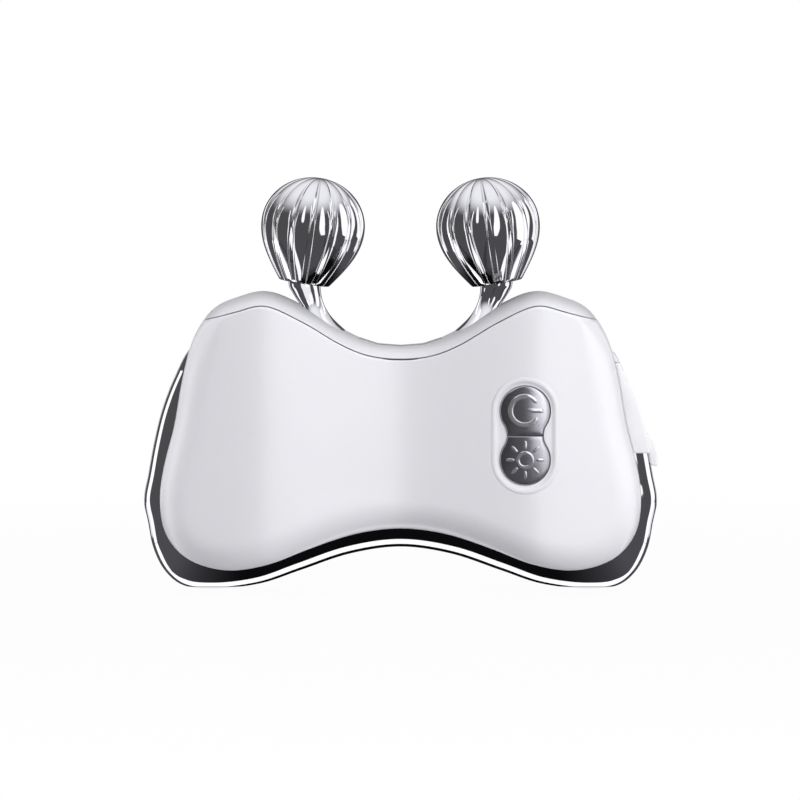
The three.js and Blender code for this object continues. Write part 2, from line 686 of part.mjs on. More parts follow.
// A ring of the fluted ball: convex lobes that meet in sharp creases.
function flutedRing(height) {
  const count = FLUTES * FLUTE_STEPS;
  const radius = ballRadius(height);
  const depth = FLUTE_DEPTH * Math.min(1, radius / (0.8 * BALL_RADIUS));
  return Array.from({ length: count }, (_, i) => {
    const angle = (2 * Math.PI * i) / count;
    const lobe = radius - depth * (1 - Math.abs(Math.sin((FLUTES * angle) / 2)));
    return new THREE.Vector3(lobe * Math.cos(angle), lobe * Math.sin(angle), height);
  });
}

// The rows lie closer together towards the top, and the last one is a little below the pole.
function makeBall() {
  const rows = Array.from({ length: BALL_ROWS }, (_, i) => {
    const share = i / (BALL_ROWS - 1);
    const turn = share * LAST_ROW_TURN;
    return flutedRing((LAST_ROW_SHARE * BALL_HEIGHT * Math.sin(turn)) / Math.sin(LAST_ROW_TURN));
  });
  const count = rows[0].length;
  const pole = new THREE.Vector3(0, 0, BALL_HEIGHT);
  const outer = loft([...rows, rows[0].map(() => pole)], (i) => (count - i) % count);
  return outer.subtract(barZ(0, 0, HUB_RADIUS + FIT, -OVER, HUB_LENGTH + FIT));
}

function makeHub() {
  const bottom = BUSH_RISE + BUSH_FLANGE + BUSH_PLAY;
  const shelfFrom = bottom + BUSH_LENGTH;
  const shelfTo = UPPER_BUSH_TOP - BUSH_LENGTH - BUSH_PLAY;
  const body = barZ(0, 0, HUB_RADIUS, bottom, HUB_LENGTH);
  return cut(
    body,
    barZ(0, 0, BUSH_RADIUS + RUN, -OVER, shelfFrom),
    barZ(0, 0, HUB_BORE, 0, shelfTo + OVER),
    barZ(0, 0, BUSH_RADIUS + RUN, shelfTo, HUB_LENGTH + OVER),
  );
}

function makeLowerBush() {
  const flange = ringZ(AXLE_RADIUS + RUN, HUB_RADIUS - 2 * FIT, BUSH_RISE, BUSH_RISE + BUSH_FLANGE);
  const sleeve = ringZ(AXLE_RADIUS + RUN, BUSH_RADIUS, BUSH_RISE, BUSH_RISE + BUSH_FLANGE + BUSH_LENGTH);
  return flange.add(sleeve);
}

function makeUpperBush() {
  return ringZ(AXLE_RADIUS + RUN, BUSH_RADIUS, UPPER_BUSH_TOP - BUSH_LENGTH, UPPER_BUSH_TOP);
}

function makeAxle() {
  const pin = barZ(0, 0, AXLE_RADIUS, POST_TOP_RISE - AXLE_ROOT, AXLE_LENGTH);
  const grooveTo = GROOVE_FROM + CLIP_THICKNESS;
  return pin.subtract(ringZ(AXLE_RADIUS - GROOVE_DEPTH, AXLE_RADIUS + OVER, GROOVE_FROM, grooveTo));
}

function makeClip() {
  const from = GROOVE_FROM + FIT / 2;
  const ring = ringZ(AXLE_RADIUS - GROOVE_DEPTH + FIT / 2, CLIP_RADIUS, from, from + CLIP_THICKNESS - FIT);
  const mouth = box([-CLIP_OPENING, 0, from - OVER], [CLIP_OPENING, 2 * CLIP_RADIUS, from + OVER]);
  return ring.subtract(mouth);
}

function makeRoller(side, word) {
  const group = new THREE.Group();
  group.position.set(side * ROLLER_X, CREST_Y, ROLLER_Z);
  group.rotation.y = -side * ROLLER_TILT;
  group.add(
    piece("roller_ball_" + word, makeBall(), CHROME),
    piece("roller_hub_" + word, makeHub(), NYLON),
    piece("lower_bush_" + word, makeLowerBush(), BRASS),
    piece("upper_bush_" + word, makeUpperBush(), BRASS),
    piece("roller_axle_" + word, makeAxle(), STEEL),
    piece("axle_clip_" + word, makeClip(), STEEL),
  );
  return group;
}

// Buttons, their bezel and switches

// Outline of the button pair: two circles joined by a narrow waist.
function buttonPair(grow) {
  const radius = BUTTON_RADIUS + grow;
  const waist = BUTTON_WAIST + grow;
  const neck = (waist ** 2 + BUTTON_SPACING ** 2 - radius ** 2) / (2 * (radius - waist));
  const turn = Math.atan2(BUTTON_SPACING, waist + neck);
  const shape = new THREE.Shape();
  shape.absarc(POD.x, POD.z + BUTTON_SPACING, radius, -turn, Math.PI + turn, false);
  shape.absarc(POD.x - waist - neck, POD.z, neck, turn, -turn, true);
  shape.absarc(POD.x, POD.z - BUTTON_SPACING, radius, Math.PI - turn, 2 * Math.PI + turn, false);
  shape.absarc(POD.x + waist + neck, POD.z, neck, Math.PI + turn, Math.PI - turn, true);
  return shape;
}

function makeBezel() {
  const ring = prismY(racetrack(POD_HALF_LENGTH, POD_RADIUS), -FAR, BEZEL_BACK_Y);
  const skin = ring.intersect(housingForm(FIT, HOUSING_BACK_Y, OUTER_TURNS));
  const flangeShape = racetrack(POD_HALF_LENGTH + BEZEL_FLANGE, POD_RADIUS + BEZEL_FLANGE);
  const flange = prismY(flangeShape, -FAR, BEZEL_BACK_Y)
    .intersect(housingForm(-WALL - FIT, HOUSING_BACK_Y - BACK_WALL, INNER_TURNS));
  const floorShape = racetrack(POD_HALF_LENGTH - BEZEL_RING, POD_RADIUS - BEZEL_RING);
  const floor = prismY(floorShape, -FAR, BEZEL_BACK_Y)
    .subtract(housingForm(-BEZEL_RECESS, HOUSING_BACK_Y - BEZEL_RECESS, OUTER_TURNS));
  const opening = prismY(buttonPair(BUTTON_GAP), -FAR, 0);
  return piece("button_bezel", cut(skin.add(flange), floor, opening), GREY);
}

function makeButton(side, name) {
  const edge = POD.z + (side * BUTTON_SPLIT) / 2;
  const far = edge + side * FAR;
  const half = box([0, -FAR, Math.min(edge, far)], [2 * POD.x, FAR, Math.max(edge, far)]);
  const [flangeFront, flangeBack] = [BEZEL_BACK_Y + BUTTON_GAP, BEZEL_BACK_Y + BUTTON_GAP + BUTTON_FLANGE];
  const cap = prismY(buttonPair(0), BUTTON_FRONT_Y, flangeBack);
  const flange = prismY(buttonPair(BUTTON_FLANGE + BUTTON_GAP), flangeFront, flangeBack);
  return piece(name, cap.add(flange).intersect(half), CHROME);
}

const plungerTop = BEZEL_BACK_Y + BUTTON_GAP + BUTTON_FLANGE + FIT;
const switchTop = BOARD.y - SWITCH.height;

function makeSwitch(side, name) {
  const z = POD.z + side * BUTTON_SPACING;
  const half = SWITCH.width / 2;
  const body = box([POD.x - half, switchTop, z - half], [POD.x + half, BOARD.y, z + half]);
  const boreEnd = switchTop + SWITCH.seat + BUTTON_TRAVEL + SWITCH.play;
  const bore = barY(POD.x, z, SWITCH.plunger + FIT, switchTop - OVER, boreEnd);
  return piece(name, body.subtract(bore), BLACK);
}

function makePlunger(side, name) {
  const z = POD.z + side * BUTTON_SPACING;
  const plunger = barY(POD.x, z, SWITCH.plunger, plungerTop, switchTop + SWITCH.seat);
  return piece(name, plunger, NYLON);
}

// Electronics

function makeBoard() {
  const [halfWidth, halfHeight] = [BOARD.width / 2, BOARD.height / 2];
  const sheet = box(
    [BOARD.x - halfWidth, BOARD.y, BOARD.z - halfHeight],
    [BOARD.x + halfWidth, BOARD.y + BOARD.thickness, BOARD.z + halfHeight],
  );
  const holes = BOARD_SCREWS.map(([x, z]) =>
    barY(x, z, BOARD_SCREW_RADIUS + FIT, BOARD.y - OVER, BOARD.y + BOARD.thickness + OVER, 10));
  return piece("control_board", cut(sheet, ...holes), BOARD_GREEN);
}

function screw(x, z, seatY, shankLength, shankRadius, headRadius, headHeight) {
  const shank = barY(x, z, shankRadius, seatY - shankLength, seatY, 8);
  const head = barY(x, z, headRadius, seatY, seatY + headHeight, 12);
  const slotWidth = 0.25 * headRadius;
  const slot = box(
    [x - headRadius, seatY + 0.5 * headHeight, z - slotWidth],
    [x + headRadius, seatY + 2 * headHeight, z + slotWidth],
  );
  return shank.add(head).subtract(slot);
}

function makeBoardScrews() {
  const seat = BOARD.y + BOARD.thickness;
  return BOARD_SCREWS.map(([x, z], i) =>
    piece(
      "board_screw_" + (i + 1),
      screw(x, z, seat, BOARD_SCREW_LENGTH, BOARD_SCREW_RADIUS, BOARD_HEAD_RADIUS, BOARD_HEAD_HEIGHT),
      STEEL,
    ));
}

function makeHousingScrews() {
  const seat = HOUSING_BACK_Y - HEAD_HEIGHT - FIT;
  return HOUSING_SCREWS.map(([x, z], i) =>
    piece(
      "housing_screw_" + (i + 1),
      screw(x, z, seat, SCREW_LENGTH, SCREW_RADIUS, HEAD_RADIUS, HEAD_HEIGHT),
      STEEL,
    ));
}

function makeChip() {
  const half = CHIP.width / 2;
  const y = BOARD.y + BOARD.thickness;
  const body = box([CHIP.x - half, y, CHIP.z - half], [CHIP.x + half, y + CHIP.thickness, CHIP.z + half]);
  return piece("control_chip", body, BLACK);
}

// The coil that raises the voltage for the skin pulses: a bobbin with a recessed winding.
function makeCoil() {
  const y = BOARD.y + BOARD.thickness;
  const { x, z, radius, height, flange } = COIL;
  const bobbin = barY(x, z, radius, y, y + height);
  const groove = barY(x, z, radius + OVER, y + flange, y + height - flange)
    .subtract(barY(x, z, radius - COIL.groove, y, y + height));
  return piece("pulse_coil", bobbin.subtract(groove), BRASS);
}

const batteryBack = HOUSING_BACK_Y - BACK_WALL - PAD.thickness;

function makeBattery() {
  const [halfWidth, halfHeight] = [BATTERY.width / 2, BATTERY.height / 2];
  const { corner } = BATTERY;
  const shape = new THREE.Shape();
  shape.moveTo(BATTERY.x - halfWidth + corner, BATTERY.z - halfHeight);
  shape.lineTo(BATTERY.x + halfWidth - corner, BATTERY.z - halfHeight);
  shape.lineTo(BATTERY.x + halfWidth, BATTERY.z - halfHeight + corner);
  shape.lineTo(BATTERY.x + halfWidth, BATTERY.z + halfHeight - corner);
  shape.lineTo(BATTERY.x + halfWidth - corner, BATTERY.z + halfHeight);
  shape.lineTo(BATTERY.x - halfWidth + corner, BATTERY.z + halfHeight);
  shape.lineTo(BATTERY.x - halfWidth, BATTERY.z + halfHeight - corner);
  shape.lineTo(BATTERY.x - halfWidth, BATTERY.z - halfHeight + corner);
  return piece("battery", prismY(shape, batteryBack - BATTERY.thickness, batteryBack), CELL);
}

function makeBatteryPad() {
  const [halfWidth, halfHeight] = [BATTERY.width / 2 - PAD.inset, BATTERY.height / 2 - PAD.inset];
  const pad = box(
    [BATTERY.x - halfWidth, batteryBack, BATTERY.z - halfHeight],
    [BATTERY.x + halfWidth, batteryBack + PAD.thickness, BATTERY.z + halfHeight],
  );
  return piece("battery_pad", pad, FOAM);
}

// A lead from the battery's end to the back of the control board.
function makeLead(name, rise, material) {
  const start = new THREE.Vector3(
    BATTERY.x + BATTERY.width / 2 + FIT,
    batteryBack - BATTERY.thickness / 2,
    BATTERY.z + rise,
  );
  const endX = BOARD.x - BOARD.width / 2 + 2;
  const endY = BOARD.y + BOARD.thickness + FIT;
  const route = new THREE.CatmullRomCurve3([
    start,
    start.clone().add(new THREE.Vector3(2.5, 0, 0)),
    new THREE.Vector3(BATTERY.x + BATTERY.width / 2 + 10, 2, BATTERY.z + rise + 1),
    new THREE.Vector3(endX - 2, 1.5, BATTERY.z + rise),
    new THREE.Vector3(endX, endY + 2, BATTERY.z + rise),
    new THREE.Vector3(endX, endY, BATTERY.z + rise),
  ]);
  const section = new THREE.Shape();
  section.absarc(0, 0, LEAD_RADIUS, 0, 2 * Math.PI);
  const tube = new THREE.ExtrudeGeometry(section, { steps: 18, extrudePath: route, curveSegments: 3 });
  return piece(name, solid(tube), material);
}

function makeLightBoard() {
  const top = SHELF.z + SHELF.thickness;
  const half = SHELF.halfWidth - LIGHT_BOARD.inset;
  const sheet = box([-half, SHELF.front, top], [half, -SHELF.front, top + LIGHT_BOARD.thickness]);
  return piece("light_board", sheet, BOARD_GREEN);
}

function makeLeds() {
  const low = SHELF.z + SHELF.thickness + LIGHT_BOARD.thickness;
  const half = LED.width / 2;
  return ["left", "middle", "right"].map((word, i) => {
    const x = (i - 1) * LED.pitch;
    const chip = box([x - half, CREST_Y - half, low], [x + half, CREST_Y + half, low + LED.height]);
    return piece("led_" + word, chip, LENS);
  });
}

// Charging port and its soft cover

function makePortBoard() {
  const high = HOUSING_BACK_Y - BACK_WALL;
  const right = wallX(PORT.z + PORT_BOARD.width / 2) - WALL - FLAP_GAP;
  const board = box(
    [right - PORT_BOARD.depth, high - PORT_BOARD.thickness, PORT.z - PORT_BOARD.width / 2],
    [right, high, PORT.z + PORT_BOARD.width / 2],
  );
  return piece("port_board", board, BOARD_GREEN);
}

function makePort() {
  const right = wallX(PORT.z) - WALL / 2;
  const [halfWidth, halfHeight] = [PORT.width / 2, PORT.height / 2];
  const shell = box(
    [right - PORT.depth, PORT.y - halfHeight, PORT.z - halfWidth],
    [right, PORT.y + halfHeight, PORT.z + halfWidth],
  );
  const mouth = box(
    [right - PORT.depth + PORT_BACK, PORT.y - halfHeight + PORT_WALL, PORT.z - halfWidth + PORT_WALL],
    [right + OVER, PORT.y + halfHeight - PORT_WALL, PORT.z + halfWidth - PORT_WALL],
  );
  const tongue = box(
    [right - PORT.depth, PORT.y - TONGUE.halfHeight, PORT.z - TONGUE.halfWidth],
    [right - TONGUE.recess, PORT.y + TONGUE.halfHeight, PORT.z + TONGUE.halfWidth],
  );
  return piece("charging_port", shell.subtract(mouth).add(tongue), STEEL);
}

// X of the housing's right side wall, and of the plate's edge, at a height.
function sideX(ring, height) {
  const side = ring.slice(HALF_COLUMNS + 4, 2 * HALF_COLUMNS + 1);
  const after = Math.max(1, side.findIndex((point) => point.y <= height));
  const [a, b] = [side[after - 1], side[after]];
  return THREE.MathUtils.lerp(a.x, b.x, (height - a.y) / (b.y - a.y));
}

function wallX(height) {
  return sideX(HOUSING_RING, height);
}

function flapOuterX(height) {
  return sideX(PLATE_RING, height) - FLAP_INSET;
}

// A strip along the housing's right side between two heights, from its wall to the plate's edge line.
function flapStrip(top, bottom) {
  const steps = 6;
  const heights = Array.from({ length: steps + 1 }, (_, i) => top + ((bottom - top) * i) / steps);
  const inner = heights.map((z) => new THREE.Vector2(wallX(z) + FLAP_GAP, z));
  const outer = heights.map((z) => new THREE.Vector2(Math.max(flapOuterX(z), wallX(z) + 3 * FLAP_GAP), z));
  const shape = new THREE.Shape([...inner, ...outer.reverse()]);
  return prismY(shape, FLAP.front, FLAP.back);
}

function anchorPeg(grow) {
  const z = (FLAP.top + FLAP.neck) / 2;
  const half = PEG_HALF + grow;
  return box(
    [wallX(z) - 2 * WALL, PORT.y - 2 * half, z - half],
    [wallX(z) + 2 * FLAP_GAP, PORT.y + 2 * half, z + half],
  );
}

function makeFlapAnchor() {
  return piece("port_cover_anchor", flapStrip(FLAP.top, FLAP.neck + FLAP_GAP).add(anchorPeg(0)), SILICONE);
}

function makeFlap() {
  const strip = flapStrip(FLAP.neck, FLAP.bottom);
  const halfWidth = PORT.width / 2 - PLUG.inset;
  const halfHeight = PORT.height / 2 - PLUG.inset;
  const plug = box(
    [wallX(PORT.z) - PLUG.length, PORT.y - halfHeight, PORT.z - halfWidth],
    [wallX(PORT.z) + OVER, PORT.y + halfHeight, PORT.z + halfWidth],
  );
  const pullX = (z) => sideX(PLATE_RING, z) - PULL.inset;
  const innerTop = new THREE.Vector2(pullX(PULL.top), PULL.top);
  const innerLow = new THREE.Vector2(pullX(PULL.bottom), PULL.bottom);
  const outerLow = new THREE.Vector2(pullX(PULL.bottom + 0.6) + PULL.thickness, PULL.bottom + 0.6);
  const outerTop = new THREE.Vector2(pullX(PULL.top - 1) + PULL.thickness, PULL.top - 1);
  const root = new THREE.Vector2(flapOuterX(PULL.top) - 0.6, PULL.top + 0.8);
  const rootLow = new THREE.Vector2(flapOuterX(PULL.top) - 0.6, PULL.top - 1.2);
  const tabShape = new THREE.Shape([root, outerTop, outerLow, innerLow, innerTop, rootLow]);
  const middle = (FLAP.front + FLAP.back) / 2;
  const tab = prismY(tabShape, middle - PULL.width / 2, middle + PULL.width / 2);
  return piece("port_cover", union(strip, plug, tab), SILICONE);
}

// Assembly

const massager = new THREE.Group();
massager.add(
  makeFrontCover(),
  makeRearCover(),
  makeLightWindow(),
  makeScrapingPlate(),
  makePlateAdhesive(),
  ...makeHousingScrews(),
  makeBezel(),
  makeButton(1, "power_button"),
  makeButton(-1, "light_button"),
  makeSwitch(1, "power_switch"),
  makeSwitch(-1, "light_switch"),
  makePlunger(1, "power_plunger"),
  makePlunger(-1, "light_plunger"),
  makeBoard(),
  ...makeBoardScrews(),
  makeChip(),
  makeCoil(),
  makeBattery(),
  makeBatteryPad(),
  makeLead("battery_lead_red", 4, RED),
  makeLead("battery_lead_black", -4, BLACK),
  makeLightBoard(),
  ...makeLeds(),
  makePortBoard(),
  makePort(),
  makeFlapAnchor(),
  makeFlap(),
);
for (const [side, word] of [[-1, "left"], [1, "right"]]) {
  massager.add(
    piece("roller_post_" + word, makePost(side), CHROME),
    piece("post_nut_" + word, makePostNut(side), STEEL),
    piece("contact_tab_" + word, makeContactTab(side), BRASS),
    makeRoller(side, word),
  );
}

export default massager;
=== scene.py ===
"""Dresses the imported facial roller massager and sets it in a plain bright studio.

Millimetres inside the shape classes, metres in the meshes. +Z is up and the front faces -Y.
"""

from __future__ import annotations

import json
import logging
import math
from dataclasses import dataclass
from enum import Enum
from typing import Sequence

import bmesh
import bpy
import numpy as np
from bmesh.types import BMEdge, BMesh, BMVert
from bpy.types import Collection, Material, Node, NodeSocket, NodeTree, Object
from mathutils import Matrix, Vector

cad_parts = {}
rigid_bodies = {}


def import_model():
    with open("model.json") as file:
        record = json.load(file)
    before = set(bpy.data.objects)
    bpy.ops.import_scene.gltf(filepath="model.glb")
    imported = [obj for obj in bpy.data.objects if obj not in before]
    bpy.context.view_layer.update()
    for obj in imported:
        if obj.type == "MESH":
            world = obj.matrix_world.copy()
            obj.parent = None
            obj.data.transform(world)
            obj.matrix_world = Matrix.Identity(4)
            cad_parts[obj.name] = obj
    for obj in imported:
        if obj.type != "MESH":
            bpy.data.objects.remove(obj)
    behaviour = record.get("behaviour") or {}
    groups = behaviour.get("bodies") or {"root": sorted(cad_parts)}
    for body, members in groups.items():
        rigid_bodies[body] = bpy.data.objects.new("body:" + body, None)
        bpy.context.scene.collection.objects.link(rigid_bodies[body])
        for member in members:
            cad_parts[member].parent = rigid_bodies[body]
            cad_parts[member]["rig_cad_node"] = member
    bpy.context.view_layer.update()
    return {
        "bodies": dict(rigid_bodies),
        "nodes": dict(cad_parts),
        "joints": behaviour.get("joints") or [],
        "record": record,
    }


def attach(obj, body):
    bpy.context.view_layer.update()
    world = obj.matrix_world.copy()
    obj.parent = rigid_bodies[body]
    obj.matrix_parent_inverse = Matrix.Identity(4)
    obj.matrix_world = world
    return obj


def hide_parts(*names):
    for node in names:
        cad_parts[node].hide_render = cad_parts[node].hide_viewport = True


log = logging.getLogger("massager")

MM = 0.001
SPINE_REACH = 0.8  # Share of a spine's half width that is fitted; beyond it, it runs on level.
SPINE_PULL = 0.7  # Width of a spine as a share of its ring's.
CRISP_ANGLE = 35  # Degrees from which an edge of a cover is shaded crisp.
HALVINGS = 40  # Steps of a search by halving.
COAT_ROUGHNESS = 0.12
Points = np.ndarray
Profile = Sequence[tuple[float, float]]


# Outlines and skins


def eased(share: Points) -> Points:
    """Turns an even rise from 0 to 1 into one that starts and ends level."""
    return share * share * (3 - 2 * share)


def rounded_curve(points: Points, steps: int = 40) -> Points:
    """Runs a closed smooth curve through points, without overshooting between them.

    Args:
        points: An array of shape (n, 2).
        steps: Curve points for each stretch.

    Returns:
        An array of shape (n * steps, 2).
    """
    before, start, end, after = (np.roll(points, shift, axis=0) for shift in (1, 0, -1, -2))

    def gap(a: Points, b: Points) -> Points:
        """Gives the root of each distance between two rows of points."""
        return np.maximum(np.linalg.norm(a - b, axis=1), 1e-4)[:, None] ** 0.5

    first, middle, last = gap(before, start), gap(start, end), gap(end, after)
    leave = (start - before) / first - (end - before) / (first + middle) + (end - start) / middle
    arrive = (end - start) / middle - (after - start) / (middle + last) + (after - end) / last
    leave, arrive = leave * middle, arrive * middle
    share = np.linspace(0, 1, steps, endpoint=False)[None, :, None]
    cubic = 2 * start - 2 * end + leave + arrive
    square = -3 * start + 3 * end - 2 * leave - arrive
    curve = ((cubic[:, None] * share + square[:, None]) * share + leave[:, None]) * share
    return (curve + start[:, None]).reshape(-1, 2)


def evened(curve: Points, spacing: float, blur: float) -> Points:
    """Spaces a closed curve's points evenly and blurs the kinks out of it.

    Args:
        curve: An array of shape (n, 2).
        spacing: Distance between the new points.
        blur: Length over which each point is averaged with its neighbours.

    Returns:
        An array of shape (m, 2) that starts at the curve's first point.
    """
    closed = np.vstack([curve, curve[:1]])
    along = np.concatenate([[0], np.cumsum(np.linalg.norm(np.diff(closed, axis=0), axis=1))])
    count = int(along[-1] / spacing)
    at = np.linspace(0, along[-1], count, endpoint=False)
    even = np.stack([np.interp(at, along, closed[:, axis]) for axis in range(2)], axis=1)
    reach = np.minimum(np.arange(count), count - np.arange(count)) * spacing
    weights = np.exp(-0.5 * (reach / blur) ** 2)
    weights /= weights.sum()
    spectrum = np.fft.rfft(weights)[:, None] * np.fft.rfft(even, axis=0)
    return np.fft.irfft(spectrum, n=count, axis=0)


@dataclass(frozen=True)
class Outline:
    """A closed outline in X and Z that is the same on both sides of X = 0.

    Attributes:
        half: Points from the middle of the top, round the right side, to the middle of the bottom.
        columns: Columns between the middle and one side.
        blur: Length over which kinks are blurred away.
    """

    half: tuple[tuple[float, float], ...]
    columns: int = 64
    blur: float = 1.2

    def ring(self) -> Points:
        """Places the outline's columns, which have the same X along the top and the bottom.

        Returns:
            Points of shape (4 * columns, 2), along the top from the left, then back along the bottom.
        """
        right = np.array(self.half)
        left = right[-2:0:-1] * (-1, 1)
        curve = evened(rounded_curve(np.vstack([right, left])), 0.1, self.blur)
        middle = len(curve) // 2
        side = int(np.argmax(curve[:, 0]))
        top, bottom = curve[: side + 1], curve[side : middle + 1][::-1]
        turn = np.arange(-self.columns, self.columns + 1) / self.columns * (math.pi / 2)
        x = curve[side, 0] * np.sin(turn)
        over = np.stack([x, np.interp(np.abs(x), top[:, 0], top[:, 1])], axis=1)
        under = np.stack([x, np.interp(np.abs(x), bottom[:, 0], bottom[:, 1])], axis=1)
        over[[0, -1], 1] = curve[side, 1]
        return np.vstack([over, under[-2:0:-1]])


def outward(ring: Points) -> Points:
    """Gives the unit normals of a ring that runs clockwise seen from the front."""
    along = np.roll(ring, -1, axis=0) - np.roll(ring, 1, axis=0)
    normals = np.stack([-along[:, 1], along[:, 0]], axis=1)
    return normals / np.linalg.norm(normals, axis=1)[:, None]


def facing(ring: Points) -> Points:
    """Gives each column's point on the other side of the outline."""
    return ring[(-np.arange(len(ring))) % len(ring)]


def towards_spine(ring: Points, share: float, pull: float = SPINE_PULL) -> Points:
    """Moves a ring towards the smooth line along its middle.

    Args:
        ring: Points of shape (n, 2).
        share: 0 leaves the ring, and 1 lays it on its spine.
        pull: The spine's width as a share of the ring's.

    Returns:
        The moved points.
    """
    spine = (ring + facing(ring)) / 2 * (pull, 1)
    reach = SPINE_REACH * float(np.abs(spine[:, 0]).max())
    curve = np.polyfit(*spine[np.abs(spine[:, 0]) <= reach].T, 4)
    spine[:, 1] = np.polyval(curve, np.clip(spine[:, 0], -reach, reach))
    return ring + (spine - ring) * share


def standing(ring: Points, y: Points | float) -> Points:
    """Gives a ring in X and Z its depth."""
    return np.stack([ring[:, 0], np.broadcast_to(y, len(ring)), ring[:, 1]], axis=1)


def mesh_object(name: str, bm: BMesh, smooth: bool = True) -> Object:
    """Turns a finished bmesh into an object.

    Args:
        name: Name of the object and its mesh.
        bm: The bmesh, in metres, which is freed.
        smooth: Whether its faces are shaded smooth.

    Returns:
        The linked object.
    """
    for face in bm.faces:
        face.smooth = smooth
    mesh = bpy.data.meshes.new(name)
    bm.to_mesh(mesh)
    bm.free()
    obj = bpy.data.objects.new(name, mesh)
    bpy.context.scene.collection.objects.link(obj)
    return obj


def tidied(bm: BMesh) -> BMesh:
    """Merges doubled points, drops empty faces and turns the faces outwards."""
    bmesh.ops.remove_doubles(bm, verts=bm.verts, dist=1e-7)
    bmesh.ops.dissolve_degenerate(bm, dist=1e-8, edges=bm.edges)
    bmesh.ops.recalc_face_normals(bm, faces=bm.faces)
    return bm


def ring_skin(rings: Sequence[Points]) -> BMesh:
    """Extrudes a loop of edges through a row of rings.

    Args:
        rings: Rings of equally many points in millimetres. A ring may lie on a point or a line.

    Returns:
        The closed skin, in metres.
    """
    bm = bmesh.new()
    verts = [bm.verts.new(place) for place in rings[0] * MM]
    loop = [bm.edges.new((vert, verts[i - 1])) for i, vert in enumerate(verts)]
    for ring in rings[1:]:
        grown = bmesh.ops.extrude_edge_only(bm, edges=loop)["geom"]
        fresh = {item for item in grown if isinstance(item, BMVert)}
        verts = [next(e.other_vert(v) for e in v.link_edges if e.other_vert(v) in fresh) for v in verts]
        for vert, place in zip(verts, ring * MM):
            vert.co = place
        loop = [item for item in grown if isinstance(item, BMEdge) and set(item.verts) <= fresh]
    return tidied(bm)


def merged(whole: BMesh, *parts: BMesh) -> BMesh:
    """Adds separate bodies to a bmesh.

    Args:
        whole: The bmesh that receives them.
        parts: Bmeshes to add, which are freed.

    Returns:
        The first bmesh.
    """
    for part in parts:
        mesh = bpy.data.meshes.new("part")
        part.to_mesh(mesh)
        part.free()
        whole.from_mesh(mesh)
        bpy.data.meshes.remove(mesh)
    return whole


def sharpened(obj: Object, degrees: float) -> Object:
    """Keeps edges sharper than an angle crisp under smooth shading.

    Args:
        obj: The object.
        degrees: The angle.

    Returns:
        The same object.
    """
    bm = bmesh.new()
    bm.from_mesh(obj.data)
    limit = math.radians(degrees)
    for edge in bm.edges:
        edge.smooth = len(edge.link_faces) != 2 or edge.calc_face_angle(0) < limit
    bm.to_mesh(obj.data)
    bm.free()
    return obj


def opened(obj: Object, *tools: BMesh) -> Object:
    """Cuts closed tools out of an object and keeps the result in its mesh.

    Args:
        obj: The object to cut.
        tools: Closed bmeshes in metres, which are freed.

    Returns:
        The same object.
    """
    for tool in tools:
        cutter = mesh_object(obj.name + "_cutter", tool, smooth=False)
        cut = obj.modifiers.new("opening", "BOOLEAN")
        cut.operation = "DIFFERENCE"
        cut.solver = "MANIFOLD"
        cut.object = cutter
        bpy.context.view_layer.update()
        finished = bpy.data.meshes.new_from_object(obj.evaluated_get(bpy.context.evaluated_depsgraph_get()))
        obj.modifiers.clear()
        obj.data = finished
        bpy.data.objects.remove(cutter)
    return obj


def box_tool(low: Sequence[float], high: Sequence[float]) -> BMesh:
    """Makes a closed box.

    Args:
        low: Its lowest corner in millimetres.
        high: Its highest corner in millimetres.

    Returns:
        The box, in metres.
    """
    bm = bmesh.new()
    bmesh.ops.create_cube(bm, size=1)
    size = [(b - a) * MM for a, b in zip(low, high)]
    middle = [(b + a) / 2 * MM for a, b in zip(low, high)]
    bmesh.ops.scale(bm, vec=size, verts=bm.verts)
    bmesh.ops.translate(bm, vec=middle, verts=bm.verts)
    return bm


def drawn_prism(shape: Points, front: float, back: float) -> BMesh:
    """Extrudes a closed shape drawn in X and Z from one depth to another.

    Args:
        shape: Points of shape (n, 2) in millimetres.
        front: Lower Y in millimetres.
        back: Higher Y in millimetres.

    Returns:
        The closed prism, in metres.
    """
    bm = bmesh.new()
    verts = [bm.verts.new((x * MM, front * MM, z * MM)) for x, z in shape]
    face = bm.faces.new(verts)
    grown = bmesh.ops.extrude_face_region(bm, geom=[face])["geom"]
    moved = [item for item in grown if isinstance(item, BMVert)]
    bmesh.ops.translate(bm, vec=(0, (back - front) * MM, 0), verts=moved)
    return tidied(bm)


def drawn_strip(shape: Points, z: float) -> BMesh:
    """Fills a level shape between two rows of equally many points, one after the other.

    Args:
        shape: The first row, then the second one backwards, in X and Y in millimetres.
        z: Height in millimetres.

    Returns:
        The open strip, in metres.
    """
    bm = bmesh.new()
    verts = [bm.verts.new((x * MM, y * MM, z * MM)) for x, y in shape]
    half = len(verts) // 2
    for i in range(half - 1):
        bm.faces.new((verts[i], verts[i + 1], verts[-i - 2], verts[-i - 1]))
    return bm


def softened(bm: BMesh, radius: float, segments: int = 3, angle: float = 30) -> BMesh:
    """Rounds the edges of a bmesh that turn by more than an angle.

    Args:
        bm: The bmesh in metres.
        radius: Radius in millimetres.
        segments: Faces across each rounding.
        angle: Least turn in degrees.

    Returns:
        The same bmesh.
    """
    sharp = [edge for edge in bm.edges if edge.calc_face_angle(0) > math.radians(angle)]
    bmesh.ops.bevel(
        bm, geom=sharp, offset=radius * MM, segments=segments, profile=0.5, affect="EDGES", material=-1,
        clamp_overlap=True,
    )
    return bm


# Node trees


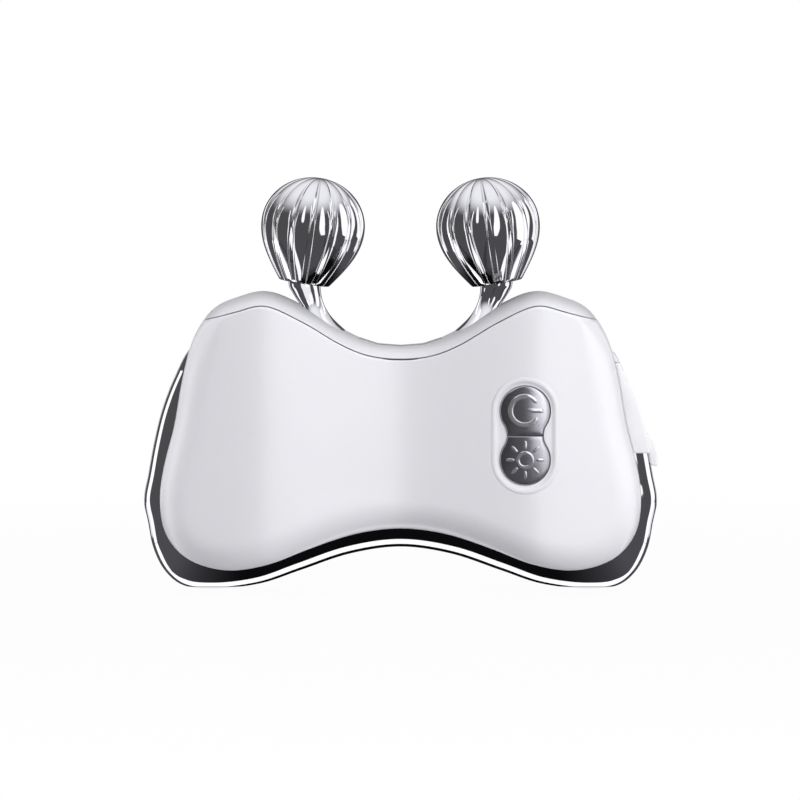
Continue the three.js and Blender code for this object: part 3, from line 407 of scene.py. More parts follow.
class Tree:
    """Adds nodes to one node tree and links them."""

    def __init__(self, tree: NodeTree) -> None:
        """Starts on an emptied tree."""
        self.tree = tree
        tree.nodes.clear()

    def add(self, kind: str, inputs: dict[str | int, object] | None = None, **settings: object) -> Node:
        """Adds a node.

        Args:
            kind: The node's type.
            inputs: Values or source sockets by input name or number.
            settings: Properties of the node.

        Returns:
            The new node.
        """
        node = self.tree.nodes.new(kind)
        for key, value in settings.items():
            setattr(node, key, value)
        for key, value in (inputs or {}).items():
            if isinstance(value, NodeSocket):
                self.tree.links.new(value, node.inputs[key])
            else:
                node.inputs[key].default_value = value
        return node

    def math(self, operation: str, first: object, second: object = 0.0) -> NodeSocket:
        """Adds a Math node and returns its output."""
        return self.add("ShaderNodeMath", {0: first, 1: second}, operation=operation).outputs[0]

    def remap(self, value: object, low: float, high: float, to_low: float, to_high: float) -> NodeSocket:
        """Maps a value smoothly from the range low to high to another one and returns the output."""
        inputs = {"Value": value, "From Min": low, "From Max": high, "To Min": to_low, "To Max": to_high}
        return self.add("ShaderNodeMapRange", inputs, interpolation_type="SMOOTHSTEP").outputs[0]

    def mix(self, factor: object, first: object, second: object) -> NodeSocket:
        """Mixes two colours.

        Args:
            factor: Share of the second colour.
            first: The first colour, as a value or a socket.
            second: The second colour.

        Returns:
            The output.
        """
        node = self.add("ShaderNodeMix", data_type="RGBA")
        for index, value in ((0, factor), (6, first), (7, second)):
            if isinstance(value, NodeSocket):
                self.tree.links.new(value, node.inputs[index])
            else:
                node.inputs[index].default_value = value
        return node.outputs[2]

    def noise(self, scale: object, detail: float, place: object) -> NodeSocket:
        """Adds a noise texture and returns its factor."""
        inputs = {"Vector": place, "Scale": scale, "Detail": detail}
        return self.add("ShaderNodeTexNoise", inputs).outputs[0]

    def place(self) -> NodeSocket:
        """Returns the object coordinates."""
        return self.add("ShaderNodeTexCoord").outputs["Object"]

    def shine(self, light: NodeSocket | float, blue: float = 1.0) -> None:
        """Ends the tree in an emission.

        Args:
            light: Its brightness.
            blue: Its blue as a share of that brightness.
        """
        color: NodeSocket | tuple[float, ...] = (light, light, light, 1)
        if isinstance(light, NodeSocket):
            tinted = {0: light, 1: light, 2: self.math("MULTIPLY", light, blue)}
            color = self.add("ShaderNodeCombineXYZ", tinted).outputs[0]
        emission = self.add("ShaderNodeEmission", {"Color": color, "Strength": 1.0})
        self.add("ShaderNodeOutputMaterial", {"Surface": emission.outputs[0]})


def new_material(name: str) -> tuple[Material, Tree]:
    """Starts a material and returns it with its empty tree."""
    material = bpy.data.materials.new(name)
    material.use_nodes = True
    return material, Tree(material.node_tree)


class Surface(Enum):
    """The shared effects that a finish may use, by the names of their node groups."""

    MOULDED = "moulded_skin"
    POLISHED = "polish_marks"


def surface_group(surface: Surface) -> None:
    """Builds the node group of one shared effect.

    A moulded surface has a fine grain and a faint cloud in its gloss. A polished one has faint
    wipe marks, with the gloss duller where they meet the cloud.

    Args:
        surface: The effect.
    """
    group = bpy.data.node_groups.new(surface.value, "ShaderNodeTree")
    inputs = {"Relief Scale": 6000, "Relief Height": 0.00001, "Gloss": 0.3, "Gloss Spread": 0.05}
    for key, value in inputs.items():
        socket = group.interface.new_socket(name=key, in_out="INPUT", socket_type="NodeSocketFloat")
        socket.default_value = value
    for key, kind in (("Roughness", "Float"), ("Normal", "Vector"), ("Cloud", "Float")):
        group.interface.new_socket(name=key, in_out="OUTPUT", socket_type="NodeSocket" + kind)
    tree = Tree(group)
    given, result = tree.add("NodeGroupInput").outputs, tree.add("NodeGroupOutput").inputs
    place = tree.place()
    if surface is Surface.MOULDED:
        relief, cloud = tree.noise(given["Relief Scale"], 2, place), tree.noise(70, 3, place)
        uneven = tree.math("SUBTRACT", cloud, 0.5)
    else:
        stretched = tree.add("ShaderNodeMapping", {"Vector": place, "Scale": (1, 1, 0.12)}).outputs[0]
        relief, cloud = tree.noise(given["Relief Scale"], 4, stretched), tree.noise(55, 2, place)
        uneven = tree.math("MULTIPLY", relief, cloud)
    swing = tree.math("MULTIPLY", uneven, given["Gloss Spread"])
    inputs = {"Strength": 1.0, "Distance": given["Relief Height"], "Height": relief}
    outputs = {
        "Roughness": tree.math("ADD", swing, given["Gloss"]),
        "Normal": tree.add("ShaderNodeBump", inputs).outputs[0],
        "Cloud": cloud,
    }
    for key, socket in outputs.items():
        group.links.new(socket, result[key])


@dataclass(frozen=True)
class Finish:
    """A finish of one material.

    Attributes:
        name: Name of the material.
        slot: Slot of the record that the finish belongs to; not used.
        color: Linear colour.
        shade: How much darker the cloud makes the colour in places.
        roughness: Mean roughness.
        spread: How much the roughness varies.
        relief: Height of the grain or marks in millimetres.
        metallic: 1 for metal.
        coat: Weight of a clear coat.
        surface: The shared effect.
        grain: Scale of the grain or marks; higher is finer.
    """

    name: str
    slot: str
    color: tuple[float, float, float]
    shade: float = 0.03
    roughness: float = 0.3
    spread: float = 0.08
    relief: float = 0.004
    metallic: float = 0.0
    coat: float = 0.0
    surface: Surface = Surface.MOULDED
    grain: float = 6000

    def build(self) -> Material:
        """Makes the material."""
        material, tree = new_material(self.name)
        effect = tree.add("ShaderNodeGroup", node_tree=bpy.data.node_groups[self.surface.value])
        inputs = {
            "Relief Scale": self.grain,
            "Relief Height": self.relief * MM,
            "Gloss": self.roughness,
            "Gloss Spread": self.spread,
        }
        for key, value in inputs.items():
            effect.inputs[key].default_value = value
        deep = tuple(value * (1 - self.shade) for value in self.color)
        color = tree.mix(effect.outputs["Cloud"], (*self.color, 1), (*deep, 1))
        color = self.patterned(tree, color)
        normal = self.shaped(tree, effect.outputs["Normal"])
        shader = tree.add(
            "ShaderNodeBsdfPrincipled",
            {
                "Base Color": color,
                "Metallic": self.metallic,
                "Roughness": effect.outputs["Roughness"],
                "Normal": normal,
                "Coat Weight": self.coat,
                "Coat Roughness": COAT_ROUGHNESS,
            },
        )
        tree.add("ShaderNodeOutputMaterial", {"Surface": shader.outputs[0]})
        return material

    def patterned(self, tree: Tree, color: NodeSocket) -> NodeSocket:
        """Leaves the colour as it is; a finish with a pattern draws it here."""
        return color

    def shaped(self, tree: Tree, normal: NodeSocket) -> NodeSocket:
        """Leaves the shading normal as it is; a finish with a shape of its own turns it here."""
        return normal


@dataclass(frozen=True)
class MetalFinish(Finish):
    """A polished or brushed metal, or a plating."""

    metallic: float = 1
    spread: float = 0.05
    relief: float = 0.0002
    surface: Surface = Surface.POLISHED
    grain: float = 420


@dataclass(frozen=True)
class CircuitFinish(Finish):
    """Green board lacquer with copper tracks showing through."""

    def patterned(self, tree: Tree, color: NodeSocket) -> NodeSocket:
        """Draws tracks along and across the board.

        Args:
            tree: The material's tree.
            color: The colour of the lacquer.

        Returns:
            The colour with the tracks.
        """
        tracks = tree.add(
            "ShaderNodeTexBrick",
            {"Vector": tree.place(), "Scale": 260.0, "Mortar Size": 0.03, "Color1": (0, 0, 0, 1),
             "Color2": (0, 0, 0, 1), "Mortar": (1, 1, 1, 1)},
        )
        lighter = tuple(min(1, value * 1.9 + 0.03) for value in self.color)
        return tree.mix(tracks.outputs[0], color, (*lighter, 1))


@dataclass(frozen=True)
class PearlFinish(Finish):
    """Sprayed white with a fine mica speckle."""

    roughness: float = 0.34
    coat: float = 0.25
    relief: float = 0.003

    def patterned(self, tree: Tree, color: NodeSocket) -> NodeSocket:
        """Scatters the speckle over the colour and returns the result."""
        speck = tree.noise(5200, 1, tree.place())
        factor = tree.remap(speck, 0.35, 0.7, 0.0, 0.06)
        return tree.mix(factor, color, (1, 1, 1, 1))


@dataclass(frozen=True)
class LobedFinish(PearlFinish):
    """Pearl white that deepens the shading of the face's two lobes.

    Attributes:
        half_wave: Distance from the face's middle to a lobe's crest in millimetres.
        swell: Depth that the shading adds in millimetres.
        crest_cut: Share of a cosine that the slopes are bent from; below 1 rounds their crests.
    """

    half_wave: float = 26
    swell: float = 3.2
    crest_cut: float = 0.92

    def shaped(self, tree: Tree, normal: NodeSocket) -> NodeSocket:
        """Tilts the shading normal along the lobes' slopes.

        Args:
            tree: The material's tree.
            normal: The normal with the grain.

        Returns:
            The tilted normal.
        """
        across = tree.add("ShaderNodeSeparateXYZ", {0: tree.place()}).outputs["X"]
        wave = tree.math("COSINE", tree.math("MULTIPLY", across, math.pi / (self.half_wave * MM)))
        slopes = tree.math("ARCSINE", tree.math("MULTIPLY", wave, -self.crest_cut))
        height = tree.math("DIVIDE", slopes, math.pi)
        inputs = {"Strength": 1.0, "Distance": self.swell * MM, "Height": height, "Normal": normal}
        return tree.add("ShaderNodeBump", inputs).outputs[0]


WHITE = LobedFinish("cover_white", "cover_white", (0.80, 0.80, 0.825))
BEZEL = PearlFinish("bezel_white", "cover_grey", (0.80, 0.80, 0.825))
GREY = PearlFinish("cover_grey", "cover_grey", (0.74, 0.74, 0.765), roughness=0.3, coat=0.2, relief=0.002)
CHROME = MetalFinish("chrome", "chrome", (0.80, 0.80, 0.83), roughness=0.035)
KEY_CHROME = MetalFinish("key_chrome", "chrome_plastic", (0.70, 0.69, 0.74), roughness=0.2, spread=0.06)
# The signs get a lighter, less metallic copy of the keys' chrome plastic. This is a painted highlight that
# stands in for the light along their raised edges.
PAINTED_HIGHLIGHT_MARK = MetalFinish(
    "key_mark_painted_highlight", "chrome_plastic", (0.80, 0.79, 0.83), roughness=0.12, spread=0.06, metallic=0.85
)
STEEL = MetalFinish("steel", "steel", (0.55, 0.55, 0.57), roughness=0.22, spread=0.2, relief=0.001)
BRASS = MetalFinish("brass", "brass", (0.70, 0.52, 0.25), roughness=0.24, spread=0.2, relief=0.001)
FOIL = MetalFinish(
    "cell_foil", "cell_foil", (0.62, 0.63, 0.66), roughness=0.3, spread=0.25, relief=0.004, metallic=0.8
)
NYLON = Finish("nylon", "nylon", (0.80, 0.77, 0.68), roughness=0.5)
SILICONE = Finish("silicone", "silicone", (0.82, 0.82, 0.83), roughness=0.55, relief=0.003, grain=9000)
BLACK = Finish("black_plastic", "black_plastic", (0.02, 0.02, 0.022), shade=0.3, roughness=0.5, relief=0.005)
BOARD = CircuitFinish("circuit_board", "circuit_board", (0.02, 0.11, 0.05), roughness=0.35, coat=0.3)
LENS = Finish("lens", "lens", (0.78, 0.74, 0.76), roughness=0.18, coat=0.5, relief=0.001)
FOAM = Finish(
    "foam_tape", "foam_tape", (0.05, 0.05, 0.053), shade=0.4, roughness=0.9, relief=0.03, grain=2500
)
RED = Finish("red_lead", "red_lead", (0.42, 0.02, 0.015), roughness=0.42)
FINISHES = (
    WHITE, BEZEL, GREY, CHROME, KEY_CHROME, PAINTED_HIGHLIGHT_MARK, STEEL, BRASS, FOIL, NYLON, SILICONE, BLACK, BOARD, LENS,
    FOAM, RED,
)


class Paints:
    """Builds the finishes once and hands them out."""

    def __init__(self) -> None:
        """Builds the shared groups and every material."""
        for surface in Surface:
            surface_group(surface)
        self.materials = {finish.name: finish.build() for finish in FINISHES}

    def dress(self, obj: Object, finish: Finish) -> None:
        """Gives an object one finish."""
        obj.data.materials.clear()
        obj.data.materials.append(self.materials[finish.name])


# Housing


@dataclass(frozen=True)
class HousingForm:
    """The housing's outer form, from the face with its two lobes, over the rounded edges, to the back.

    Attributes:
        side_round: Inset of the rounding at the sides and the bottom.
        side_depth: Depth of the rounding at the sides and the bottom.
        top_round: Inset of the rounding at the top.
        crest_y: Depth of the top's highest line.
        back_round: Inset of the rounding behind the crest.
        back_y: Depth of the back.
        valley_y: Depth of the face at X = 0.
        lobe_depth: How far the lobes stand in front of the valley.
        lobe_x: X of a lobe's middle.
        roundness: Share of a cosine in the lobes; the rest runs in even slopes.
        crest_cut: Share of a cosine that the even slopes are bent from; below 1 rounds their crests.
        top_from: Upward part of a normal from which a point starts to count as top.
        top_span: How much more it takes to count as top altogether.
        full_turn: Degrees of the rounding behind the widest outline.
        outline: The widest outline.
    """

    side_round: float = 6
    side_depth: float = 6.5
    top_round: float = 3
    crest_y: float = 0
    back_round: float = 2.6
    back_y: float = 8
    valley_y: float = -8.9
    lobe_depth: float = 4.15
    lobe_x: float = 26
    roundness: float = 0.35
    crest_cut: float = 0.985
    top_from: float = 0.25
    top_span: float = 0.55
    full_turn: float = 70
    outline: Outline = Outline(
        (
            (0, 48.7), (5.6, 49.3), (10.4, 51.3), (17.5, 55.6), (26, 59.2), (32.1, 57.8), (36.2, 55.9),
            (39.9, 50.5), (42.25, 42), (43.8, 33.1), (45.6, 26.3), (46.65, 19.6), (45.8, 12.8), (42.8, 8.5),
            (39, 6.35), (33, 5.3), (25.4, 6.6), (17.6, 9.5), (8.5, 12.3), (0, 13.2),
        )
    )

    def face_y(self, x: Points | float) -> Points | float:
        """Gives the depth of the front face over a given X, in even slopes between soft crests."""
        wave = np.cos(math.pi * x / self.lobe_x)
        straight = np.arcsin(self.crest_cut * wave) / math.asin(self.crest_cut)
        height = 1 - self.roundness * wave - (1 - self.roundness) * straight
        return self.valley_y - self.lobe_depth * height / 2

    def at(self, turn: Points | float, grow: float = 0, back_y: float | None = None) -> Points:
        """Places one ring of the form.

        Args:
            turn: 90 degrees at the face, 0 at the widest outline, -full_turn at the back.
            grow: How far the ring lies outside the form.
            back_y: Depth of the back, where it isn't the form's own.

        Returns:
            Points of shape (n, 3) in millimetres.
        """
        ring = self.outline.ring()
        normals = outward(ring)
        angle = np.radians(np.broadcast_to(np.asarray(turn, float), len(ring)))
        upward = eased(np.clip((normals[:, 1] - self.top_from) / self.top_span, 0, 1))
        rounding = np.maximum(0.5, self.side_round + (self.top_round - self.side_round) * upward + grow)
        inset = np.where(angle > 0, rounding, self.back_round * upward) * (1 - np.cos(angle)) - grow
        flat = ring - normals * inset[:, None]
        face = self.face_y(flat[:, 0])
        widest = (face + self.side_depth) * (1 - upward) + self.crest_y * upward
        back = self.back_y if back_y is None else back_y
        behind = (widest - back) / math.sin(math.radians(self.full_turn))
        depth = np.where(angle > 0, face - grow - widest, behind)
        return standing(flat, widest + depth * np.sin(angle))

    def face_rings(self, ring: Points, lift: float, rows: int) -> list[Points]:
        """Covers the face inside a ring with smaller and smaller rings.

        Args:
            ring: The ring at the face's rim, of shape (n, 3).
            lift: How far the rings lie in front of the face.
            rows: Number of rings.

        Returns:
            The rings from the spine outwards, without the rim's own.
        """
        flat = ring[:, [0, 2]]
        rings = [towards_spine(flat, 1 - row / rows) for row in range(rows)]
        return [standing(inner, self.face_y(inner[:, 0]) - lift) for inner in rings]


@dataclass(frozen=True)
class PartingLine:
    """The line between the front cover and the rear cover.

    Attributes:
        band: Height of the rear cover's band below the crest.
        end_x: X where the band's lower edge starts to run straight to the side.
        end_slope: Slope of that straight end.
        seam_y: Depth of the seam along the sides and the bottom.
        gap: Width of the line.
        notch: Half width and height of the notch in the middle.
    """

    band: float = 2.4
    end_x: float = 31
    end_slope: float = 0.28
    seam_y: float = -3.5
    gap: float = 0.22
    notch: tuple[float, float] = (3.2, 0.12)

    def height(self, form: HousingForm, x: Points, raised: float) -> Points:
        """Gives the line's height.

        Args:
            form: The housing's form.
            x: The X of each point.
            raised: How far above the line.

        Returns:
            Heights in millimetres.
        """
        ring = form.outline.ring()
        top = 2 * form.outline.columns + 1
        line = (ring + outward(ring) * (raised - self.band))[:top]
        line = line[np.abs(line[:, 0]) <= self.end_x]
        inside = np.interp(x, line[:, 0], line[:, 1])
        return inside - self.end_slope * np.maximum(0, np.abs(x) - line[-1, 0])

    def turn(self, form: HousingForm, raised: float, notched: bool) -> Points:
        """Finds where each column of the form meets the line or the seam.

        Args:
            form: The housing's form.
            raised: How far above the line and behind the seam.
            notched: Whether the notch is taken out below the line.

        Returns:
            The turn of each column in degrees.
        """

        def above(turn: Points | float) -> Points:
            """Gives how far each column is above the line at a turn."""
            ring = form.at(turn)
            drop = self.notch[1] * (np.abs(ring[:, 0]) < self.notch[0]) if notched else 0
            return ring[:, 2] - self.height(form, ring[:, 0], raised) + drop

        widest = form.at(0)[:, 1]
        share = (self.seam_y + raised - widest) / (form.back_y - widest)
        seam = -np.degrees(np.arcsin(np.clip(share * math.sin(math.radians(form.full_turn)), 0, 1)))
        low, high = np.full(len(widest), 90.0), np.zeros(len(widest))
        crosses = above(0) > 0
        for _ in range(HALVINGS):
            middle = (low + high) / 2
            over = above(middle) > 0
            high = np.where(over, middle, high)
            low = np.where(over, low, middle)
        return np.where(crosses, high, seam)


@dataclass(frozen=True)
class Pod:
    """The racetrack bezel and the waisted pair of buttons in it.

    Attributes:
        x: X of its middle.
        z: Height of its middle.
        straight: Half the length of the racetrack's straight sides.
        radius: Radius of the racetrack's ends.
        button_radius: Radius of the pair's round ends.
        spacing: Height of a button's middle above the pair's.
        waist: Half the pair's width at its waist.
        split: Width of the split between the buttons.
        gap: Width of the gap round the pair.
        floor: Depth of the bezel's floor below the housing's face.
        front_y: Depth of the buttons' fronts at their middles.
        back_y: Depth of the buttons' backs.
        crown_depth: How far the fronts fall back towards the rim.
        crown_stretch: How much of a point's height counts towards that; a small share makes a ridge.
        count: Points of each outline.
    """

    x: float = 23.9
    z: float = 32
    straight: float = 4.8
    radius: float = 6.25
    button_radius: float = 4.8
    spacing: float = 4.7
    waist: float = 3.4
    split: float = 0.24
    gap: float = 0.12
    floor: float = 0.42
    front_y: float = -12.72
    back_y: float = -9.3
    crown_depth: float = 0.5
    crown_stretch: float = 0.35
    count: int = 240

    def angles(self) -> Points:
        """Gives the directions in which the outlines are measured."""
        return np.arange(self.count) / self.count * 2 * math.pi

    def reaching(self, reach: Points) -> Points:
        """Places points at their distances from the middle, one in each direction."""
        angle = self.angles()
        return np.stack([self.x + reach * np.cos(angle), self.z + reach * np.sin(angle)], axis=1)

    def racetrack(self, grow: float) -> Points:
        """Draws the bezel's outline, moved outwards.

        Args:
            grow: How far outwards.

        Returns:
            Points of shape (count, 2).
        """
        angle = self.angles()
        radius = self.radius + grow
        cos, sin = np.abs(np.cos(angle)), np.abs(np.sin(angle))
        side = radius / np.maximum(cos, 1e-9)
        end = self.straight * sin + np.sqrt(np.maximum(0, radius**2 - (self.straight * cos) ** 2))
        return self.reaching(np.where(side * sin <= self.straight, side, end))

    def waisted(self, grow: float) -> Points:
        """Draws the outline of the button pair, moved outwards.

        Args:
            grow: How far outwards.

        Returns:
            Points of shape (count, 2).
        """
        angle = self.angles()
        radius, waist, spacing = self.button_radius + grow, self.waist + grow, self.spacing
        neck = (waist**2 + spacing**2 - radius**2) / (2 * (radius - waist))
        center = waist + neck
        reach = math.hypot(center, spacing)
        meet = math.atan2(spacing - radius * spacing / reach, radius * center / reach)
        cos, sin = np.abs(np.cos(angle)), np.abs(np.sin(angle))
        hollow = center * cos - np.sqrt(np.maximum(0, neck**2 - (center * sin) ** 2))
        round_end = spacing * sin + np.sqrt(np.maximum(0, radius**2 - (spacing * cos) ** 2))
        return self.reaching(np.where(np.arctan2(sin, cos) < meet, hollow, round_end))

    def crown(self, points: Points) -> Points:
        """Gives the depth of the buttons' crowned fronts at points in X and Z."""
        height = (np.abs(points[..., 1] - self.z) - self.spacing) * self.crown_stretch
        reach = np.hypot(points[..., 0] - self.x, height)
        return self.front_y + self.crown_depth * (reach / self.button_radius) ** 2

    def button(self, side: int, inset: float) -> Points:
        """Draws one button's outline, moved inwards.

        Args:
            side: 1 for the upper button, -1 for the lower one.
            inset: How far inwards.

        Returns:
            Points of shape (count, 2).
        """
        edge = self.split / 2 + inset
        pair = self.waisted(-inset) - (self.x, self.z)
        half = pair[pair[:, 1] > edge]
        low = half[np.argsort(half[:, 1])][:2]
        corner = float(np.abs(low[:, 0]).mean())
        count = self.count // 4
        cut = np.stack([np.linspace(-corner, corner, count), np.full(count, edge)], axis=1)
        around = np.vstack([half, cut]) - (0, self.spacing)
        polar = np.arctan2(around[:, 1], around[:, 0]) % (2 * math.pi)
        order = np.argsort(polar)
        angle = self.angles() - math.pi / 2
        reach = np.interp(angle % (2 * math.pi), polar[order], np.hypot(*around[order].T), period=2 * math.pi)
        return np.stack(
            [self.x + reach * np.cos(angle), self.z + side * (self.spacing + reach * np.sin(angle))], axis=1
        )


@dataclass(frozen=True)
class Housing:
    """The front cover, the rear cover, the bezel and the buttons.

    Attributes:
        form: The outer form.
        line: The line between the covers.
        pod: The bezel and the buttons.
        wall: Thickness of the covers.
        back_wall: Thickness of the rear cover's back.
        chamfer: Chamfer along the line.
        window: Half width and half depth of the light window's opening.
        slot: Depth, half depth, height and half height of the charging port's slot.
    """

    form: HousingForm = HousingForm()
    line: PartingLine = PartingLine()
    pod: Pod = Pod()
    wall: float = 1.6
    back_wall: float = 1.8
    chamfer: float = 0.14
    window: tuple[float, float] = (8, 3)
    slot: tuple[float, float, float, float] = (3.4, 1.8, 34, 4.7)

    def front_cover(self) -> Object:
        """Builds the front cover with its opening for the bezel."""
        form, end = self.form, self.line.turn(self.form, 0, True)
        rim = form.at(90)
        rings = [*form.face_rings(rim, 0, 9), rim]
        for share in np.linspace(0, 1, 15)[1:]:
            rings.append(form.at(90 + (end - 90) * share))
        rings.append(form.at(end, -self.chamfer))
        for share in (0, 0.35, 0.7, 1):
            rings.append(form.at(end + (90 - end) * share, -self.wall))
        inner = form.face_rings(rings[-1], -self.wall, 3)
        obj = mesh_object("front_shell", ring_skin([*rings, *reversed(inner)]))
        hole = drawn_prism(self.pod.racetrack(0.06), -20, -5)
        return sharpened(opened(obj, hole), CRISP_ANGLE)

    def rear_cover(self) -> Object:
        """Builds the rear cover with its band along the crest, its window and its port slot."""
        form, gap = self.form, self.line.gap
        start, full = self.line.turn(form, gap, False), form.full_turn
        back = form.at(-full)
        inside_y = form.back_y - self.back_wall
        outer = [form.at(start - (start + full) * share) for share in np.linspace(0, 1, 22)]
        closing = [standing(towards_spine(back[:, [0, 2]], share), form.back_y) for share in (0.05, 0.5, 1)]
        hollow = [
            form.at(start - (start + full) * share, -self.wall, inside_y) for share in (1, 0.6, 0.3, 0)
        ]
        floor = hollow[0][:, [0, 2]]
        lining = [standing(towards_spine(floor, share), inside_y) for share in (1, 0.5)]
        rings = [*lining, *hollow, form.at(start, -self.chamfer), *outer, *closing]
        obj = mesh_object("rear_shell", ring_skin(rings))
        half_x, half_y = self.window
        y, half_depth, z, half_height = self.slot
        window = box_tool((-half_x, -half_y, 40), (half_x, half_y, 65))
        slot = box_tool((38, y - half_depth, z - half_height), (52, y + half_depth, z + half_height))
        return sharpened(opened(obj, window, slot), CRISP_ANGLE)

    def bezel(self) -> Object:
        """Builds the bezel: a raised lip, a sunk floor and the waisted opening."""
        pod = self.pod

        def lifted(outline: Points, lift: float) -> Points:
            """Lays an outline on the housing's face, lifted towards the front."""
            return standing(outline, self.form.face_y(outline[:, 0]) - lift)

        lip: Profile = (
            (0, -1.7), (0, -0.05), (0.16, -0.02), (0.2, 0.02), (0.1, 0.07), (-0.08, 0.12), (-0.28, 0.14),
            (-0.48, 0.11), (-0.66, 0.02), (-0.82, -0.12), (-0.98, -0.26), (-1.14, -0.37), (-1.32, -pod.floor),
        )
        rings = [lifted(pod.racetrack(grow), lift) for grow, lift in lip]
        opening = pod.waisted(pod.gap)
        inner = pod.racetrack(lip[-1][0])
        rings += [lifted(inner + (opening - inner) * share, -pod.floor) for share in (0.45, 0.93)]
        rings += [lifted(opening, -pod.floor - 0.06), lifted(opening, -1.9), lifted(pod.racetrack(0), -1.7)]
        return mesh_object("bezel", ring_skin(rings))

    def button(self, side: int, name: str) -> Object:
        """Builds one crowned push button.

        Args:
            side: 1 for the upper button, -1 for the lower one.
            name: Name of the piece.

        Returns:
            The button.
        """
        pod = self.pod
        edge: Profile = ((0, 0.3), (0.02, 0.16), (0.07, 0.07), (0.15, 0.02), (0.26, 0))
        middle = np.array([pod.x, pod.z + side * pod.spacing])
        closing = np.repeat(middle[None], pod.count, axis=0)
        rings = [standing(closing, pod.back_y), standing(pod.button(side, 0), pod.back_y)]
        for inset, drop in edge:
            outline = pod.button(side, inset)
            rings.append(standing(outline, pod.crown(outline) + drop))
        rim = pod.button(side, edge[-1][0])
        for share in np.linspace(1, 0, 10)[1:]:
            inner = middle + (rim - middle) * share
            rings.append(standing(inner, pod.crown(inner)))
        return mesh_object(name, ring_skin(rings))


@dataclass(frozen=True)
class ButtonMark:
    """The raised signs on the buttons.

    Attributes:
        pod: The buttons.
        width: Width of the signs' lines.
        height: Height of the lines above a button's front.
        sink: Depth of the lines below it.
    """

    pod: Pod = Pod()
    width: float = 0.95
    height: float = 0.13
    sink: float = 0.25

    def stroke(self, path: Points, share: float = 1, closed: bool = False) -> BMesh:
        """Runs a raised, round-shouldered line along a path.

        Args:
            path: Points of shape (n, 2) in millimetres.
            share: Its width as a share of the signs' own.
            closed: Whether the path ends where it starts.

        Returns:
            The closed line, in metres.
        """
        along = np.gradient(path, axis=0)
        if closed:
            along[0] = along[-1] = path[1] - path[-2]
        along /= np.linalg.norm(along, axis=1)[:, None]
        stations = [(point, step, 1.0) for point, step in zip(path, along)]
        if not closed:
            for reach, narrow in ((0.3, 0.82), (0.46, 0.4)):
                stations.insert(0, (path[0] - along[0] * self.width * reach, along[0], narrow))
                stations.append((path[-1] + along[-1] * self.width * reach, along[-1], narrow))
        shoulder: Profile = ((0.5, 0), (0.5, 0.72), (0.44, 0.88), (0.33, 1))
        section = [*((-side, rise) for side, rise in shoulder), *reversed(shoulder)]
        across, rise = np.array(section).T
        rings = []
        for point, step, narrow in stations:
            reach = across[:, None] * self.width * share * narrow
            flat = point + np.array([-step[1], step[0]]) * reach
            rings.append(standing(flat, self.pod.crown(flat) + self.sink - rise * (self.sink + self.height)))
        if not closed:
            ends = [np.tile(ring.mean(axis=0), (len(section), 1)) for ring in (rings[0], rings[-1])]
            rings = [ends[0], *rings, ends[1]]
        return ring_skin(rings)

    def arc(self, center: Points, radius: float, start: float, end: float, steps: int) -> Points:
        """Draws an arc from one angle in degrees to another."""
        angle = np.radians(np.linspace(start, end, steps))
        return center + radius * np.stack([np.cos(angle), np.sin(angle)], axis=1)

    def power(self) -> Object:
        """Builds the open ring and bar of the power sign, turned on its side."""
        center = np.array([self.pod.x - 0.1, self.pod.z + self.pod.spacing + 0.1])
        ring = self.arc(center, 2.75, 42, 322, 44)
        bar = np.stack([np.linspace(0.95, 3.2, 8), np.zeros(8)], axis=1) + center
        return self.joined("power_sign", [self.stroke(ring), self.stroke(bar)])

    def light(self) -> Object:
        """Builds the ring and rays of the light sign."""
        center = np.array([self.pod.x, self.pod.z - self.pod.spacing])
        parts = [self.stroke(self.arc(center, 1.4, 0, 360, 33), 0.7, closed=True)]
        for turn in range(0, 360, 45):
            ray = np.array([math.cos(math.radians(turn)), math.sin(math.radians(turn))])
            parts.append(self.stroke(center + np.linspace(2.55, 3.25, 4)[:, None] * ray, 0.66))
        return self.joined("light_sign", parts)

    def joined(self, name: str, parts: Sequence[BMesh]) -> Object:
        """Joins the lines of one sign into one piece."""
        return mesh_object(name, merged(parts[0], *parts[1:]))


# Scraping plate


